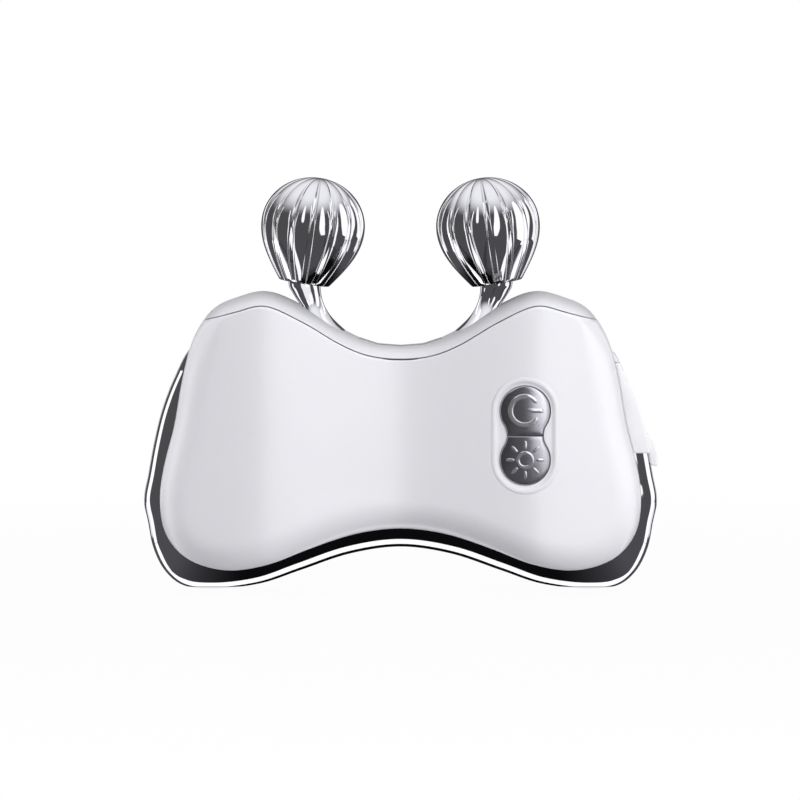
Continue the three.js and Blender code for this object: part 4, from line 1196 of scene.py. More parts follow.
@dataclass(frozen=True)
class Plate:
    """The chrome plate behind the housing, with a rounded rim and a domed back.

    Attributes:
        outline: Its outline.
        rim: Inset from the outline and depth, from the front face, round the rim, to the back.
        back_y: Depth of the flat middle of its back.
        pull: Width of its spine as a share of the outline's.
        dome: How far the domed back reaches from the rim towards the spine.
    """

    outline: Outline = Outline(
        (
            (0, 45.3), (10.4, 47.9), (17.5, 51.7), (25, 55.8), (32, 53.6), (37.5, 49.4), (41.2, 47.5),
            (44.4, 41.7), (46.9, 35.2), (48.5, 28.7), (49.6, 22.7), (50.5, 17.5), (49.7, 13.2), (48.7, 8.1),
            (46.4, 3.5), (43, 0.7), (37, 0), (27.6, 1), (19.8, 3.6), (10, 6.9), (0, 8.3),
        ),
        columns=84,
        blur=0.5,
    )
    rim: Profile = (
        (8.5, 8.02), (6.5, 8.04), (5, 8.09), (3.8, 8.17), (2.9, 8.27), (2.2, 8.4), (1.6, 8.6), (1.1, 8.86),
        (0.7, 9.17), (0.38, 9.52), (0.14, 9.92), (0.02, 10.32), (0, 10.6), (0.12, 10.95), (0.45, 11.25),
        (1.1, 11.42),
    )
    back_y: float = 13.2
    pull: float = 0.75
    dome: float = 0.42

    def build(self) -> Object:
        """Builds the plate."""
        ring = self.outline.ring()
        normals = outward(ring)

        def inset(amount: float) -> Points:
            """Draws the outline in by an amount."""
            return ring - normals * amount

        profile = rounded_curve(np.array(self.rim), 3)[: 3 * (len(self.rim) - 1) + 1]
        front = inset(self.rim[0][0])
        rings = [standing(towards_spine(front, 0.5, self.pull), self.rim[0][1])]
        rings += [standing(inset(amount), y) for amount, y in profile]
        shoulder = inset(self.rim[-1][0])
        for share in np.linspace(0, 1, 12)[1:]:
            rise = math.sin(share * math.pi / 2)
            y = self.rim[-1][1] + (self.back_y - self.rim[-1][1]) * rise
            rings.append(standing(towards_spine(shoulder, self.dome * share, self.pull), y))
        cap = rings[-1][:, [0, 2]]
        rings.append(standing(towards_spine(cap, 0.5, self.pull), self.back_y))
        skin = ring_skin(rings)
        filled = bmesh.ops.holes_fill(skin, edges=[edge for edge in skin.edges if edge.is_boundary])["faces"]
        bmesh.ops.triangulate(skin, faces=filled)
        bmesh.ops.recalc_face_normals(skin, faces=skin.faces)
        return mesh_object("plate_skin", skin)


# Rollers and posts


@dataclass(frozen=True)
class Roller:
    """One fluted ball and its flared post.

    Heights of the ball are measured from its flat bottom along its own axis.

    Attributes:
        side: 1 for the right roller, -1 for the left one.
        word: The side's name.
        x: Distance of the bottom's middle from X = 0.
        z: Height of the bottom's middle.
        tilt: Degrees that the axis leans inwards.
        radius: Greatest radius.
        equator: Height of the greatest radius.
        height: Height of the ball.
        cut_radius: Radius of the flat bottom.
        bore: Radius of the bore.
        bore_height: Height of the bore's roof.
        flutes: Number of flutes.
        flute_widths: Half width of a crease by height, as a share of half a flute.
        flute_walls: Half width of a crease's wall by height, as the same share.
        flute_depths: Depth of a crease by height.
        bulge: How far a lobe falls off from its middle to the crease.
        lip: Height of the chamfer at the bottom.
        flare: Inner X and Z, outer X and Z and half depth of the post's sections, from the foot up.
        crest_depth: Half depth over which the foot follows the housing's rounded crest.
        crest_round: How far the foot drops over that depth.
        top_rise: How far the post reaches into the ball.
        shank: X, radius and lower end of the post's shank.
    """

    side: int
    word: str
    x: float = 18.7
    z: float = 60.7
    tilt: float = 9.1
    radius: float = 10.08
    equator: float = 11.5
    height: float = 20.6
    cut_radius: float = 4.85
    bore: float = 3.8
    bore_height: float = 15.1
    flutes: int = 16
    flute_widths: Profile = ((0, 0.42), (11.5, 0.22), (16, 0.18), (20.6, 0.2))
    flute_walls: Profile = ((0, 0.1), (11.5, 0.07), (16, 0.15), (20.6, 0.18))
    flute_depths: Profile = ((0, 0.11), (12.5, 0.11), (17, 0.3), (20.6, 0.3))
    bulge: float = 0.24
    lip: float = 0.16
    flare: tuple[tuple[float, float, float, float, float], ...] = (
        (9.2, 49.7, 18.6, 52.6, 7.6), (10.2, 51.05, 18.5, 53.3, 7.2), (11.2, 52.0, 18.5, 54.0, 6.5),
        (12.2, 52.85, 18.6, 54.7, 5.5), (13.1, 53.8, 18.85, 55.4, 4.5), (13.9, 54.9, 19.25, 56.1, 3.6),
        (14.55, 56.0, 19.65, 56.8, 3.0), (15.0, 57.0, 20.05, 57.4, 2.7), (15.28, 58.0, 20.45, 58.0, 2.6),
        (15.42, 59.0, 20.85, 58.65, 2.7), (15.5, 59.8, 21.25, 59.3, 2.9), (15.58, 60.55, 21.65, 59.95, 3.1),
    )
    crest_depth: float = 9.8
    crest_round: float = 3
    top_rise: float = 0.5
    shank: tuple[float, float, float] = (15.6, 2, 42.4)

    def crease(self, height: float) -> tuple[float, float, float]:
        """Gives the width, the walls and the depth of a crease at a height."""
        rows = (self.flute_widths, self.flute_walls, self.flute_depths)
        width, wall, depth = (float(np.interp(height, *zip(*row))) for row in rows)
        return width, wall, depth

    def columns(self, height: float) -> Points:
        """Spreads the ball's columns over one flute, from a crease's middle to the next.

        Args:
            height: Height above the ball's flat bottom.

        Returns:
            Places along the flute, where 0 and 2 are creases and 1 is the lobe's middle.
        """
        width, wall, _ = self.crease(height)
        bottom = np.linspace(0, width - wall, 3, endpoint=False)
        side = np.linspace(width - wall, width + wall, 6, endpoint=False)
        half = np.concatenate([bottom, side, np.linspace(width + wall, 1, 6)])
        return np.concatenate([half, 2 - half[-2:0:-1]])

    def around(self, height: float) -> Points:
        """Gives the directions of the columns round the ball in radians."""
        step = np.arange(self.flutes)[:, None] * 2 + self.columns(height)[None]
        return step.ravel() * math.pi / self.flutes

    def profile(self, height: float) -> float:
        """Gives the ball's radius between its creases.

        Args:
            height: Height above the ball's flat bottom.

        Returns:
            The radius in millimetres.
        """
        if height > self.equator:
            share = (height - self.equator) / (self.height - self.equator)
            return self.radius * math.sqrt(max(0, 1 - share * share))
        share = np.linspace(0, 1, 200)
        step = self.radius - self.cut_radius
        curve_r = (
            (1 - share) ** 3 * self.cut_radius
            + 3 * (1 - share) ** 2 * share * (self.cut_radius + 0.67 * step)
            + (3 * (1 - share) * share**2 + share**3) * self.radius
        )
        curve_h = self.equator * (
            3 * (1 - share) ** 2 * share * 0.4 + 3 * (1 - share) * share**2 * 0.65 + share**3
        )
        return float(np.interp(height, curve_h, curve_r))

    def fluted(self, height: float, shrink: float = 0) -> Points:
        """Places one fluted ring of the ball in the roller's own frame.

        Args:
            height: Height above the ball's flat bottom.
            shrink: How far the ring is drawn in.

        Returns:
            Points of shape (n, 3).
        """
        angle, place = self.around(height), np.tile(self.columns(height), self.flutes)
        radius = self.profile(height)
        width, wall, depth = self.crease(height)
        valley = 1 - eased(np.clip((1 - np.abs(1 - place) - width + wall) / (2 * wall), 0, 1))
        above = min(1, max(0, (height - 0.9 * self.equator) / 5))
        bulge = self.bulge * above * min(1, radius / (0.5 * self.radius))
        reach = radius - shrink - depth * min(1, radius / (0.7 * self.radius)) * valley
        reach = reach - bulge * (place - 1) ** 2
        return np.stack([reach * np.cos(angle), reach * np.sin(angle), np.full(len(angle), height)], axis=1)

    def frame(self) -> Matrix:
        """Gives the turn and place of the roller's own frame, in millimetres."""
        turn = Matrix.Rotation(-self.side * math.radians(self.tilt), 4, "Y")
        return Matrix.Translation((self.side * self.x, 0, self.z)) @ turn

    def placed(self, ring: Points) -> Points:
        """Moves a ring from the roller's own frame into the part's."""
        frame = np.array(self.frame())
        return ring @ frame[:3, :3].T + frame[:3, 3]

    def ball(self) -> Object:
        """Builds the fluted ball with its blind bore."""
        angle = self.around(0)
        circle = np.stack([np.cos(angle), np.sin(angle), np.zeros(len(angle))], axis=1)
        roof = np.array([0, 0, self.bore_height])
        rings = [circle * 0 + roof, circle * self.bore + roof, circle * self.bore]
        rings += [self.fluted(0, 0.25), self.fluted(0.03, 0.08), self.fluted(self.lip, 0)]
        rows, last_turn, last_height = 64, math.radians(88), self.height * 0.998
        for share in np.linspace(0, 1, rows)[1:]:
            rise = math.sin(last_turn * share) / math.sin(last_turn)
            rings.append(self.fluted(self.lip + (last_height - self.lip) * rise))
        rings.append(circle * 0 + np.array([0, 0, self.height]))
        obj = mesh_object("ball_" + self.word, ring_skin([self.placed(ring) for ring in rings]))
        return sharpened(obj, 38)

    def post(self) -> Object:
        """Builds the flared post and its shank."""
        count, side = 48, self.side
        angle = np.arange(count) / count * 2 * math.pi

        def circle(inner: Points, outer: Points, depth: float | None = None) -> Points:
            """Draws an ellipse between two points, as deep as it is wide unless a half depth is given."""
            middle, reach = (inner + outer) / 2, (outer - inner) / 2
            across = np.array([0, float(np.linalg.norm(reach)) if depth is None else depth, 0])
            return middle + np.cos(angle)[:, None] * reach + np.sin(angle)[:, None] * across

        def level(z: float, radius: float) -> Points:
            """Draws a level circle round the shank's middle."""
            x = side * self.shank[0]
            return circle(np.array([x - side * radius, 0, z]), np.array([x + side * radius, 0, z]))

        _, shank_radius, shank_end = self.shank
        rings = [level(shank_end, 0), level(shank_end, shank_radius), level(48.5, shank_radius)]
        share, fine = np.linspace(0, 1, len(self.flare)), np.linspace(0, 1, 26)
        columns = [np.polyval(np.polyfit(share, column, 5), fine) for column in np.array(self.flare).T]
        for rise, inner_x, inner_z, outer_x, outer_z, depth in zip(fine, *columns):
            inner, outer = np.array([[side * inner_x, 0, inner_z], [side * outer_x, 0, outer_z]])
            ring = circle(inner, outer, depth)
            sag = 1 - np.sqrt(1 - (ring[:, 1] / self.crest_depth) ** 2)
            ring[:, 2] -= self.crest_round * sag * (1 - rise) ** 2
            rings.append(ring)
        top = self.top_rise
        for radius, height in ((3.1, 0), (3.1, top - 0.1), (3.0, top), (0, top)):
            ends = self.placed(np.array([[-side * radius, 0, height], [side * radius, 0, height]]))
            rings.append(circle(ends[0], ends[1]))
        obj = mesh_object("post_" + self.word, ring_skin(rings))
        smooth = obj.modifiers.new("smooth", "SUBSURF")
        smooth.levels = smooth.render_levels = 1
        return obj


# Charging port


@dataclass(frozen=True)
class PortCover:
    """The soft cover over the charging port, its fixed end and its pull tab.

    Attributes:
        form: The housing's form, whose side it lies against.
        plate: The plate, whose edge it reaches out to.
        top: Height of the fixed end's top.
        neck: Height of the neck where it bends.
        bottom: Height of the strip's lower end.
        front: Depth of its front edge.
        back: Depth of its back edge.
        gap: Distance from the housing's side.
    """

    form: HousingForm = HousingForm()
    plate: Plate = Plate()
    top: float = 47.6
    neck: float = 45.3
    bottom: float = 27.6
    front: float = -0.6
    back: float = 7.6
    gap: float = 0.06

    def side_x(self, ring: Points, z: Points | float) -> Points:
        """Gives X of an outline's right side at a height."""
        lowest, inmost = 17, 0.7 * ring[:, 0].max()
        side = ring[(ring[:, 0] > inmost) & (ring[:, 1] > lowest)]
        side = side[np.argsort(side[:, 1])]
        return np.interp(z, side[:, 1], side[:, 0])

    def strip(self, top: float, bottom: float) -> BMesh:
        """Builds the strip along the housing's side between two heights.

        Args:
            top: The upper height.
            bottom: The lower height.

        Returns:
            The closed strip, in metres.
        """
        heights = np.linspace(top, bottom, 25)
        wall = self.side_x(self.form.outline.ring(), heights)
        edge = self.side_x(self.plate.outline.ring(), heights)
        inner = np.stack([wall + self.gap, heights], axis=1)
        outer = np.stack([np.maximum(edge - 0.24, wall + 0.3), heights], axis=1)
        shape = np.vstack([inner, outer[::-1]])
        return softened(drawn_prism(shape, self.front, self.back), 0.32, 3, 40)

    def anchor(self) -> Object:
        """Builds the fixed end of the cover."""
        return mesh_object("port_cover_root", self.strip(self.top, self.neck + 0.06))

    def flap(self) -> Object:
        """Builds the part that bends away, with its plug and its pull tab."""
        whole = self.strip(self.neck, self.bottom)
        plate = self.plate.outline.ring()
        wall = float(self.side_x(self.form.outline.ring(), 34))
        plug = softened(box_tool((wall - 1.8, 2.7, 30.4), (wall + 1, 4.1, 37.6)), 0.3)
        heights = np.array([31.4, 30.6, 29.6, 27.5, 25.6])
        reach = self.side_x(plate, heights) - 0.5
        outer = np.stack([reach + (0.25, 1.15, 1.55, 1.6, 1.5), heights], axis=1)
        edge = float(self.side_x(plate, 25))
        low = np.array([[edge + 0.8, 25], [edge - 0.4, 25.1]])
        inner = np.stack([reach[::-1][:4] - (0, 0, 0.4, 0.8), heights[::-1][:4]], axis=1)
        tab = softened(drawn_prism(np.vstack([outer, low, inner]), 0.9, 6.1), 0.3, 3, 40)
        return mesh_object("port_cover_flap", merged(whole, plug, tab))


# Studio


@dataclass(frozen=True)
class Panel:
    """A bright field in the reflections, in degrees round the object and above the horizon.

    Attributes:
        around: Its two sides; 0 is behind the camera and 90 to the camera's right.
        above: Its lower and upper edge.
        light: Its brightness.
    """

    around: tuple[float, float]
    above: tuple[float, float]
    light: float


@dataclass(frozen=True)
class Studio:
    """The camera, the lamps, the pale floor and what the chrome reflects.

    Attributes:
        aim: The point that the camera looks at, in metres.
        distance: Distance of the camera in metres.
        elevation: Degrees of the camera above the horizon.
        lens: Focal length in millimetres.
        middle_z: Height of the point that lamps and dome are centred on, in metres.
        lamp_distance: Distance of the soft lamps in metres.
        lamp_size: Side of the soft lamps in metres.
        soft_lamps: Each lamp's name, degrees round the object, degrees above it and watts.
        base_light: Brightness of the dark studio that the chrome mirrors.
        sky_tilt: Degrees that the bright sky leans backwards.
        sky: Cosines from the zenith where the sky starts and is full, and its brightness.
        panels: The dome's bright fields.
    """

    aim: tuple[float, float, float] = (-0.0001, 0, 0.03796)
    distance: float = 0.87
    elevation: float = 4
    lens: float = 201.6
    middle_z: float = 0.04
    lamp_distance: float = 0.8
    lamp_size: float = 0.5
    soft_lamps: tuple[tuple[str, float, float, float], ...] = (
        ("key_lamp", 40, 12, 2.45),
        ("side_lamp", 75, 5, 1.7),
        ("edge_lamp", -112, 8, 3.3),
        ("fill_lamp", 0, 35, 1.3),
        ("top_lamp", 0, 75, 1.4),
        ("back_lamp", 180, 60, 1.1),
    )
    base_light: float = 0.085
    sky_tilt: float = 4
    sky: tuple[float, float, float] = (0.4, 1.0, 1.05)
    panels: tuple[Panel, ...] = (
        Panel((10, 28), (-13, 54), 1.3),
        Panel((-29, -18), (9, 54), 1.3),
        Panel((64, 104), (-16, 50), 1.3),
        Panel((135, 146), (-60, 35), 1.2),
        Panel((-146, -135), (-60, 35), 1.2),
    )

    def camera(self) -> None:
        """Places the camera at the photograph's viewing angle."""
        tilt = math.radians(self.elevation)
        back = Vector((0, -math.cos(tilt), math.sin(tilt)))
        data = bpy.data.cameras.new("camera")
        data.lens, data.sensor_width = self.lens, 36
        data.clip_start, data.clip_end = 0.05, 20
        camera = bpy.data.objects.new("camera", data)
        camera.location = Vector(self.aim) + back * self.distance
        camera.rotation_euler = (-back).to_track_quat("-Z", "Y").to_euler()
        bpy.context.scene.collection.objects.link(camera)
        bpy.context.scene.camera = camera

    def seen_directly(self, tree: Tree) -> NodeSocket:
        """Returns 1 for camera, glossy and transmission rays, and 0 for the others."""
        path = tree.add("ShaderNodeLightPath").outputs
        either = tree.math("MAXIMUM", path["Is Camera Ray"], path["Is Glossy Ray"])
        return tree.math("MAXIMUM", either, path["Is Transmission Ray"])

    def world(self) -> None:
        """Makes a white surrounding that lights the object only gently."""
        world = bpy.data.worlds.new("studio")
        world.use_nodes = True
        bpy.context.scene.world = world
        tree = Tree(world.node_tree)
        color = tree.mix(self.seen_directly(tree), (0.42, 0.42, 0.44, 1), (1, 1, 1, 1))
        shine = tree.add("ShaderNodeBackground", {"Color": color, "Strength": 1.0})
        tree.add("ShaderNodeOutputWorld", {"Surface": shine.outputs[0]})

    def floor(self) -> None:
        """Lays a pale floor that keeps a faint shadow."""
        bm = bmesh.new()
        bmesh.ops.create_grid(bm, x_segments=1, y_segments=1, size=4)
        floor = mesh_object("floor", bm)
        material, tree = new_material("floor")
        paint = tree.add("ShaderNodeBsdfDiffuse", {"Color": (0.6, 0.6, 0.61, 1)})
        white = tree.add("ShaderNodeEmission", {"Color": (1, 1, 1, 1), "Strength": 1.0})
        reach = tree.add("ShaderNodeVectorMath", {0: tree.place()}, operation="LENGTH").outputs["Value"]
        share = tree.math("MULTIPLY", self.seen_directly(tree), tree.remap(reach, 0.08, 0.3, 0.96, 1.0))
        mixed = tree.add("ShaderNodeMixShader", {0: share, 1: paint.outputs[0], 2: white.outputs[0]})
        tree.add("ShaderNodeOutputMaterial", {"Surface": mixed.outputs[0]})
        floor.data.materials.append(material)

    def lamp(self, name: str, around: float, above: float, watts: float) -> Object:
        """Hangs a soft square lamp that points at the object and that no reflection shows.

        Args:
            name: Name of the lamp.
            around: Degrees round the object; 0 is behind the camera and 90 to its right.
            above: Degrees above the horizon.
            watts: Power.

        Returns:
            The lamp.
        """
        data = bpy.data.lights.new(name, "AREA")
        data.shape, data.size, data.energy = "SQUARE", self.lamp_size, watts
        lamp = bpy.data.objects.new(name, data)
        turn, rise = math.radians(around), math.radians(above)
        out = Vector((math.sin(turn) * math.cos(rise), -math.cos(turn) * math.cos(rise), math.sin(rise)))
        lamp.location = Vector((0, 0, self.middle_z)) + out * self.lamp_distance
        lamp.rotation_euler = (-out).to_track_quat("-Z", "Y").to_euler()
        lamp.visible_glossy = False
        bpy.context.scene.collection.objects.link(lamp)
        return lamp

    def lamps(self) -> None:
        """Hangs the lamps that light the covers."""
        for row in self.soft_lamps:
            self.lamp(*row)

    def light_only(self, lamp: Object, pieces: Sequence[Object]) -> Collection:
        """Keeps a lamp's light to a few pieces.

        Args:
            lamp: The lamp.
            pieces: The pieces that it lights.

        Returns:
            The collection of these pieces.
        """
        group = bpy.data.collections.new(lamp.name)
        for piece in pieces:
            group.objects.link(piece)
        lamp.light_linking.receiver_collection = group
        return group

    def bounce(self, cover: Object) -> None:
        """Lights the lower edge of the front cover alone, as light off a pale table does."""
        lamp = self.lamp("bounce_lamp", 180, -50, 3.4)
        lamp.light_linking.blocker_collection = self.light_only(lamp, [cover])

    def accent(
        self,
        name: str,
        pieces: Sequence[Object],
        x: float,
        around: float,
        low: tuple[float, float],
        high: tuple[float, float],
        width: float,
        light: float,
    ) -> None:
        """Hangs a bright oblong that lights only some pieces and shows in their reflections.

        Args:
            name: Name of the lamp.
            pieces: The pieces; the lamp points at the first one.
            x: X of the upright line that the lamp hangs beside, in metres.
            around: Degrees round that line; 0 is towards the camera and 90 to the camera's right.
            low: Distance and Z of its lower edge's middle in metres.
            high: Distance and Z of its upper edge's middle in metres.
            width: Its width in metres.
            light: Its brightness.
        """
        turn = math.radians(around)
        start, end = (
            Vector((x + reach * math.sin(turn), -reach * math.cos(turn), z)) for reach, z in (low, high)
        )
        height = (end - start).length
        data = bpy.data.lights.new(name, "AREA")
        data.shape, data.size, data.size_y = "RECTANGLE", width, height
        data.energy = light * math.pi * width * height
        lamp = bpy.data.objects.new(name, data)
        middle, up = (start + end) / 2, (end - start).normalized()
        aim = sum((Vector(corner) for corner in pieces[0].bound_box), Vector()) / 8
        across = (aim - middle).cross(up).normalized()
        out = across.cross(up).normalized()
        lamp.matrix_world = Matrix.Translation(middle) @ Matrix((across, up, out)).transposed().to_4x4()
        lamp.visible_camera = False
        self.light_only(lamp, pieces)
        bpy.context.scene.collection.objects.link(lamp)

    def roller_accents(self, ball: Object, post: Object, x: float) -> None:
        """Hangs the lights that only one ball and its post show.

        Args:
            ball: The ball.
            post: The post.
            x: The ball's X in metres.
        """
        for around in (-90, -45, 48):
            name = f"{ball.name}_crease_lamp_{around}"
            self.accent(name, [ball], x, around, (0.02, 0.0208), (0.13, 0.16), 0.0065, 1.2)
        self.accent(ball.name + "_edge_lamp", [ball], x, 126, (0.3, 0.0), (0.3, 0.26), 0.09, 1.1)
        if x < 0:
            self.accent(post.name + "_lamp", [post], x, 10, (0.036, 0.022), (0.036, 0.09), 0.046, 1.0)
        behind = math.copysign(136, -x)
        self.accent(post.name + "_foot_lamp", [post], x, behind, (0.3, 0.1), (0.3, 0.42), 0.26, 0.6)

    def button_accent(self, pieces: Sequence[Object], x: float) -> None:
        """Hangs the light at the right of the buttons."""
        self.accent("button_lamp", pieces, x, 42, (0.035, 0.0203), (0.035, 0.08), 0.04, 0.6)

    def reflected_only(self, obj: Object, material: Material) -> None:
        """Shows a stage object to reflections alone."""
        obj.data.materials.append(material)
        obj.visible_camera = obj.visible_diffuse = obj.visible_shadow = obj.visible_transmission = False

    def card_material(self, name: str, light: float) -> Material:
        """Makes a plain card of one brightness."""
        material, tree = new_material(name)
        tree.shine(light)
        return material

    def dome_material(self) -> Material:
        """Makes the dark dome with its bright panels."""
        material, tree = new_material("reflection_dome")
        unit = tree.add("ShaderNodeVectorMath", {0: tree.place()}, operation="NORMALIZE").outputs[0]
        axes = tree.add("ShaderNodeSeparateXYZ", {0: unit}).outputs
        turned = tree.math("ARCTAN2", axes["X"], tree.math("MULTIPLY", axes["Y"], -1.0))
        around = tree.math("DEGREES", turned)
        above = tree.math("DEGREES", tree.math("ARCSINE", axes["Z"]))
        tilt = math.radians(self.sky_tilt)
        zenith = (0, math.sin(tilt), math.cos(tilt))
        rise = tree.add("ShaderNodeVectorMath", {0: unit, 1: zenith}, operation="DOT_PRODUCT")
        start, full, light = self.sky
        total = tree.remap(rise.outputs["Value"], start, full, self.base_light, light)
        for panel in self.panels:
            reach: NodeSocket | float = 0.0
            for value, (low, high) in ((around, panel.around), (above, panel.above)):
                part = tree.math("DIVIDE", tree.math("SUBTRACT", value, (low + high) / 2), (high - low) / 2)
                reach = tree.math("ADD", reach, tree.math("POWER", tree.math("ABSOLUTE", part), 2.6))
            share = tree.remap(reach, 0.8, 1.15, 1.0, 0.0)
            total = tree.math("MAXIMUM", total, tree.math("MULTIPLY", share, panel.light))
        tree.shine(total, 1.03)
        return material

    def dome(self) -> None:
        """Hangs the dome that only reflections show, closed towards the floor card by a skirt."""
        radius, cut_z, skirt = 0.6, -0.0397, 0.27
        bm = bmesh.new()
        bmesh.ops.create_uvsphere(bm, u_segments=48, v_segments=24, radius=radius)
        everything = [*bm.verts, *bm.edges, *bm.faces]
        cut = bmesh.ops.bisect_plane(
            bm, geom=everything, plane_co=(0, 0, cut_z), plane_no=(0, 0, 1), clear_inner=True
        )["geom_cut"]
        rim = [item for item in cut if isinstance(item, BMEdge)]
        grown = bmesh.ops.extrude_edge_only(bm, edges=rim)["geom"]
        inner = [item for item in grown if isinstance(item, BMVert)]
        bmesh.ops.scale(bm, vec=(skirt, skirt, 1), verts=inner)
        obj = mesh_object("reflection_dome", bm)
        obj.location.z = self.middle_z
        self.reflected_only(obj, self.dome_material())

    def floor_card_material(self) -> Material:
        """Makes the dark floor that reflections show, almost black below the object's middle."""
        black = 0.004
        material, tree = new_material("dark_floor_card")
        axes = tree.add("ShaderNodeSeparateXYZ", {0: tree.place()}).outputs
        side = tree.remap(tree.math("ABSOLUTE", axes["X"]), 0.03, 0.052, 0.0, 1.0)
        ahead = tree.remap(axes["Y"], -0.11, -0.03, 1.0, 0.0)
        far = tree.math("MAXIMUM", side, ahead)
        dark = tree.math("ADD", tree.math("MULTIPLY", far, self.base_light - black), black)
        beside = tree.remap(tree.math("ABSOLUTE", axes["X"]), 0.078, 0.09, 0.0, 1.0)
        apart = tree.math("ABSOLUTE", tree.math("SUBTRACT", axes["Y"], 0.014))
        level = tree.remap(apart, 0.014, 0.024, 1.0, 0.0)
        tree.shine(tree.math("MAXIMUM", dark, tree.math("MULTIPLY", beside, level)), 1.1)
        return material

    def shelf_material(self) -> Material:
        """Makes the dark shelf that the balls see below them, darker still at its back edge."""
        material, tree = new_material("dark_shelf")
        behind = tree.add("ShaderNodeSeparateXYZ", {0: tree.place()}).outputs["Y"]
        tree.shine(tree.remap(behind, -0.025, -0.0165, self.base_light, self.base_light * 0.4), 1.08)
        return material

    def dark_cards(self) -> None:
        """Sets the dark shelf in front of the object, the flag beside its buttons and the dark floor."""
        shelf = drawn_strip(np.array([[-150, -150], [150, -150], [150, -17], [-150, -17]]), 20)
        self.reflected_only(mesh_object("dark_shelf", shelf), self.shelf_material())
        flag = mesh_object("dark_flag", box_tool((11.5, -56, 22), (12, -15.5, 46)))
        self.reflected_only(flag, self.card_material("dark_card", self.base_light * 0.6))
        bm = bmesh.new()
        bmesh.ops.create_circle(bm, cap_ends=True, segments=64, radius=0.165)
        bmesh.ops.translate(bm, vec=(0, 0, 0.0004), verts=bm.verts)
        self.reflected_only(mesh_object("dark_floor_card", bm), self.floor_card_material())

    def bright_cards(self) -> None:
        """Lays the bright strip along the plate's foot and stands a card at each of its sides."""
        bright = self.card_material("bright_card", 1.35)
        ring = Plate().outline.ring()
        low = ring[ring[:, 1] < 13]
        low = low[np.argsort(low[:, 0])]
        front = [(x, 9 - 0.95 * (z + 0.7)) for x, z in low if abs(x) < 43]
        front = [(-72, -2.5), (-60, 1), (-48, 7.4), *front, (48, 7.4), (60, 1), (72, -2.5)]
        back = [(x, 9.5 + 0.04 * max(0, abs(x) - 44)) for x, _ in front]
        shape = np.array([*front, *reversed(back)])
        self.reflected_only(mesh_object("bright_floor_strip", drawn_strip(shape, 0.5)), bright)
        for side, name in ((-1, "left_card"), (1, "right_card")):
            bm = bmesh.new()
            bmesh.ops.create_grid(bm, x_segments=1, y_segments=1, size=0.5)
            bmesh.ops.scale(bm, vec=(0.053, 0.0135, 1), verts=bm.verts)
            bmesh.ops.rotate(bm, matrix=Matrix.Rotation(math.radians(90), 3, "Y"), verts=bm.verts)
            bmesh.ops.translate(bm, vec=(side * 0.072, 0.0042, 0.0272), verts=bm.verts)
            self.reflected_only(mesh_object(name, bm), bright)

    def build(self) -> None:
        """Sets up the whole studio."""
        self.camera()
        self.world()
        self.floor()
        self.lamps()
        self.dome()
        self.dark_cards()
        self.bright_cards()


# Dressing


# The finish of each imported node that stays, by the start of its name; the first match counts.
CAD_FINISHES: dict[Finish, tuple[str, ...]] = {
    STEEL: ("housing_screw_", "board_screw_", "post_nut_", "roller_axle_", "axle_clip_", "charging_port"),
    BRASS: ("contact_tab_", "lower_bush_", "upper_bush_", "pulse_coil"),
    NYLON: ("roller_hub_", "power_plunger", "light_plunger"),
    BLACK: ("power_switch", "light_switch", "control_chip", "battery_lead_black"),
    LENS: ("light_window", "led_"),
    BOARD: ("control_board", "light_board", "port_board"),
    FOAM: ("plate_adhesive", "battery_pad"),
    RED: ("battery_lead_red",),
    FOIL: ("battery",),
}


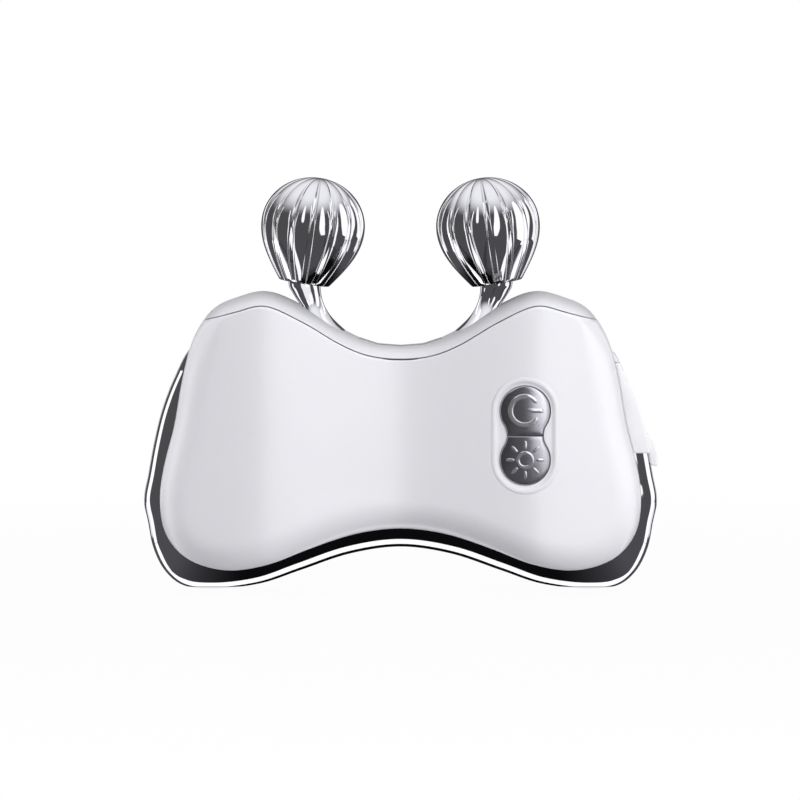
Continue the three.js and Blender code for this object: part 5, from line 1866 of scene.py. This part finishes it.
class Massager:
    """Puts every piece on its body with its finish."""

    def __init__(self, nodes: dict[str, Object], paints: Paints, studio: Studio) -> None:
        """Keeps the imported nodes, the finishes and the studio."""
        self.nodes = nodes
        self.paints = paints
        self.studio = studio

    def fit(self, obj: Object, finish: Finish, body: str, *replaced: str) -> None:
        """Dresses a piece, lets it ride and hides the nodes that it stands for.

        Args:
            obj: The piece.
            finish: Its finish.
            body: The body it rides on.
            replaced: Nodes that it stands for.
        """
        self.paints.dress(obj, finish)
        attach(obj, body)
        if replaced:
            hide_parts(*replaced)
        log.info("%s: %d faces on %s", obj.name, len(obj.data.polygons), body)

    def housing(self) -> None:
        """Builds the covers, the bezel, the buttons and the plate."""
        housing, mark = Housing(), ButtonMark()
        front, rear = housing.front_cover(), housing.rear_cover()
        front.visible_glossy = rear.visible_glossy = False
        self.studio.bounce(front)
        self.fit(front, WHITE, "housing", "front_cover")
        self.fit(rear, GREY, "housing", "rear_cover")
        self.fit(housing.bezel(), BEZEL, "housing", "button_bezel")
        caps = [housing.button(1, "power_cap"), housing.button(-1, "light_cap")]
        signs = [mark.power(), mark.light()]
        self.fit(caps[0], KEY_CHROME, "power_key", "power_button")
        self.fit(caps[1], KEY_CHROME, "light_key", "light_button")
        self.fit(signs[0], PAINTED_HIGHLIGHT_MARK, "power_key")
        self.fit(signs[1], PAINTED_HIGHLIGHT_MARK, "light_key")
        self.studio.button_accent([*caps, *signs], housing.pod.x * MM)
        plate = Plate().build()
        plate.visible_glossy = False
        self.fit(plate, CHROME, "housing", "scraping_plate")

    def rollers(self) -> None:
        """Builds both balls and both posts."""
        for side, word in ((-1, "left"), (1, "right")):
            roller = Roller(side, word)
            ball = roller.ball()
            ball.visible_glossy = False
            self.fit(ball, CHROME, word + "_roller", "roller_ball_" + word)
            post = roller.post()
            post.visible_glossy = False
            self.fit(post, CHROME, "housing", "roller_post_" + word)
            self.studio.roller_accents(ball, post, side * roller.x * MM)

    def port(self) -> None:
        """Builds the soft port cover."""
        cover = PortCover()
        root, flap = cover.anchor(), cover.flap()
        root.visible_glossy = flap.visible_glossy = False
        self.fit(root, SILICONE, "housing", "port_cover_anchor")
        self.fit(flap, SILICONE, "port_flap", "port_cover")

    def carried_over(self) -> None:
        """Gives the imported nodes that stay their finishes."""
        for name, obj in self.nodes.items():
            matches = (finish for finish, starts in CAD_FINISHES.items() if name.startswith(starts))
            finish = next(matches, None)
            if finish:
                self.paints.dress(obj, finish)
                obj.visible_glossy = False


def main() -> None:
    """Loads the frame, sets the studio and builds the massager."""
    logging.basicConfig(level=logging.INFO, format="%(name)s: %(message)s")
    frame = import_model()
    bpy.context.scene.view_settings.view_transform = "Standard"
    studio = Studio()
    studio.build()
    massager = Massager(frame["nodes"], Paints(), studio)
    massager.housing()
    massager.rollers()
    massager.port()
    massager.carried_over()


if __name__ == "__main__":
    main()
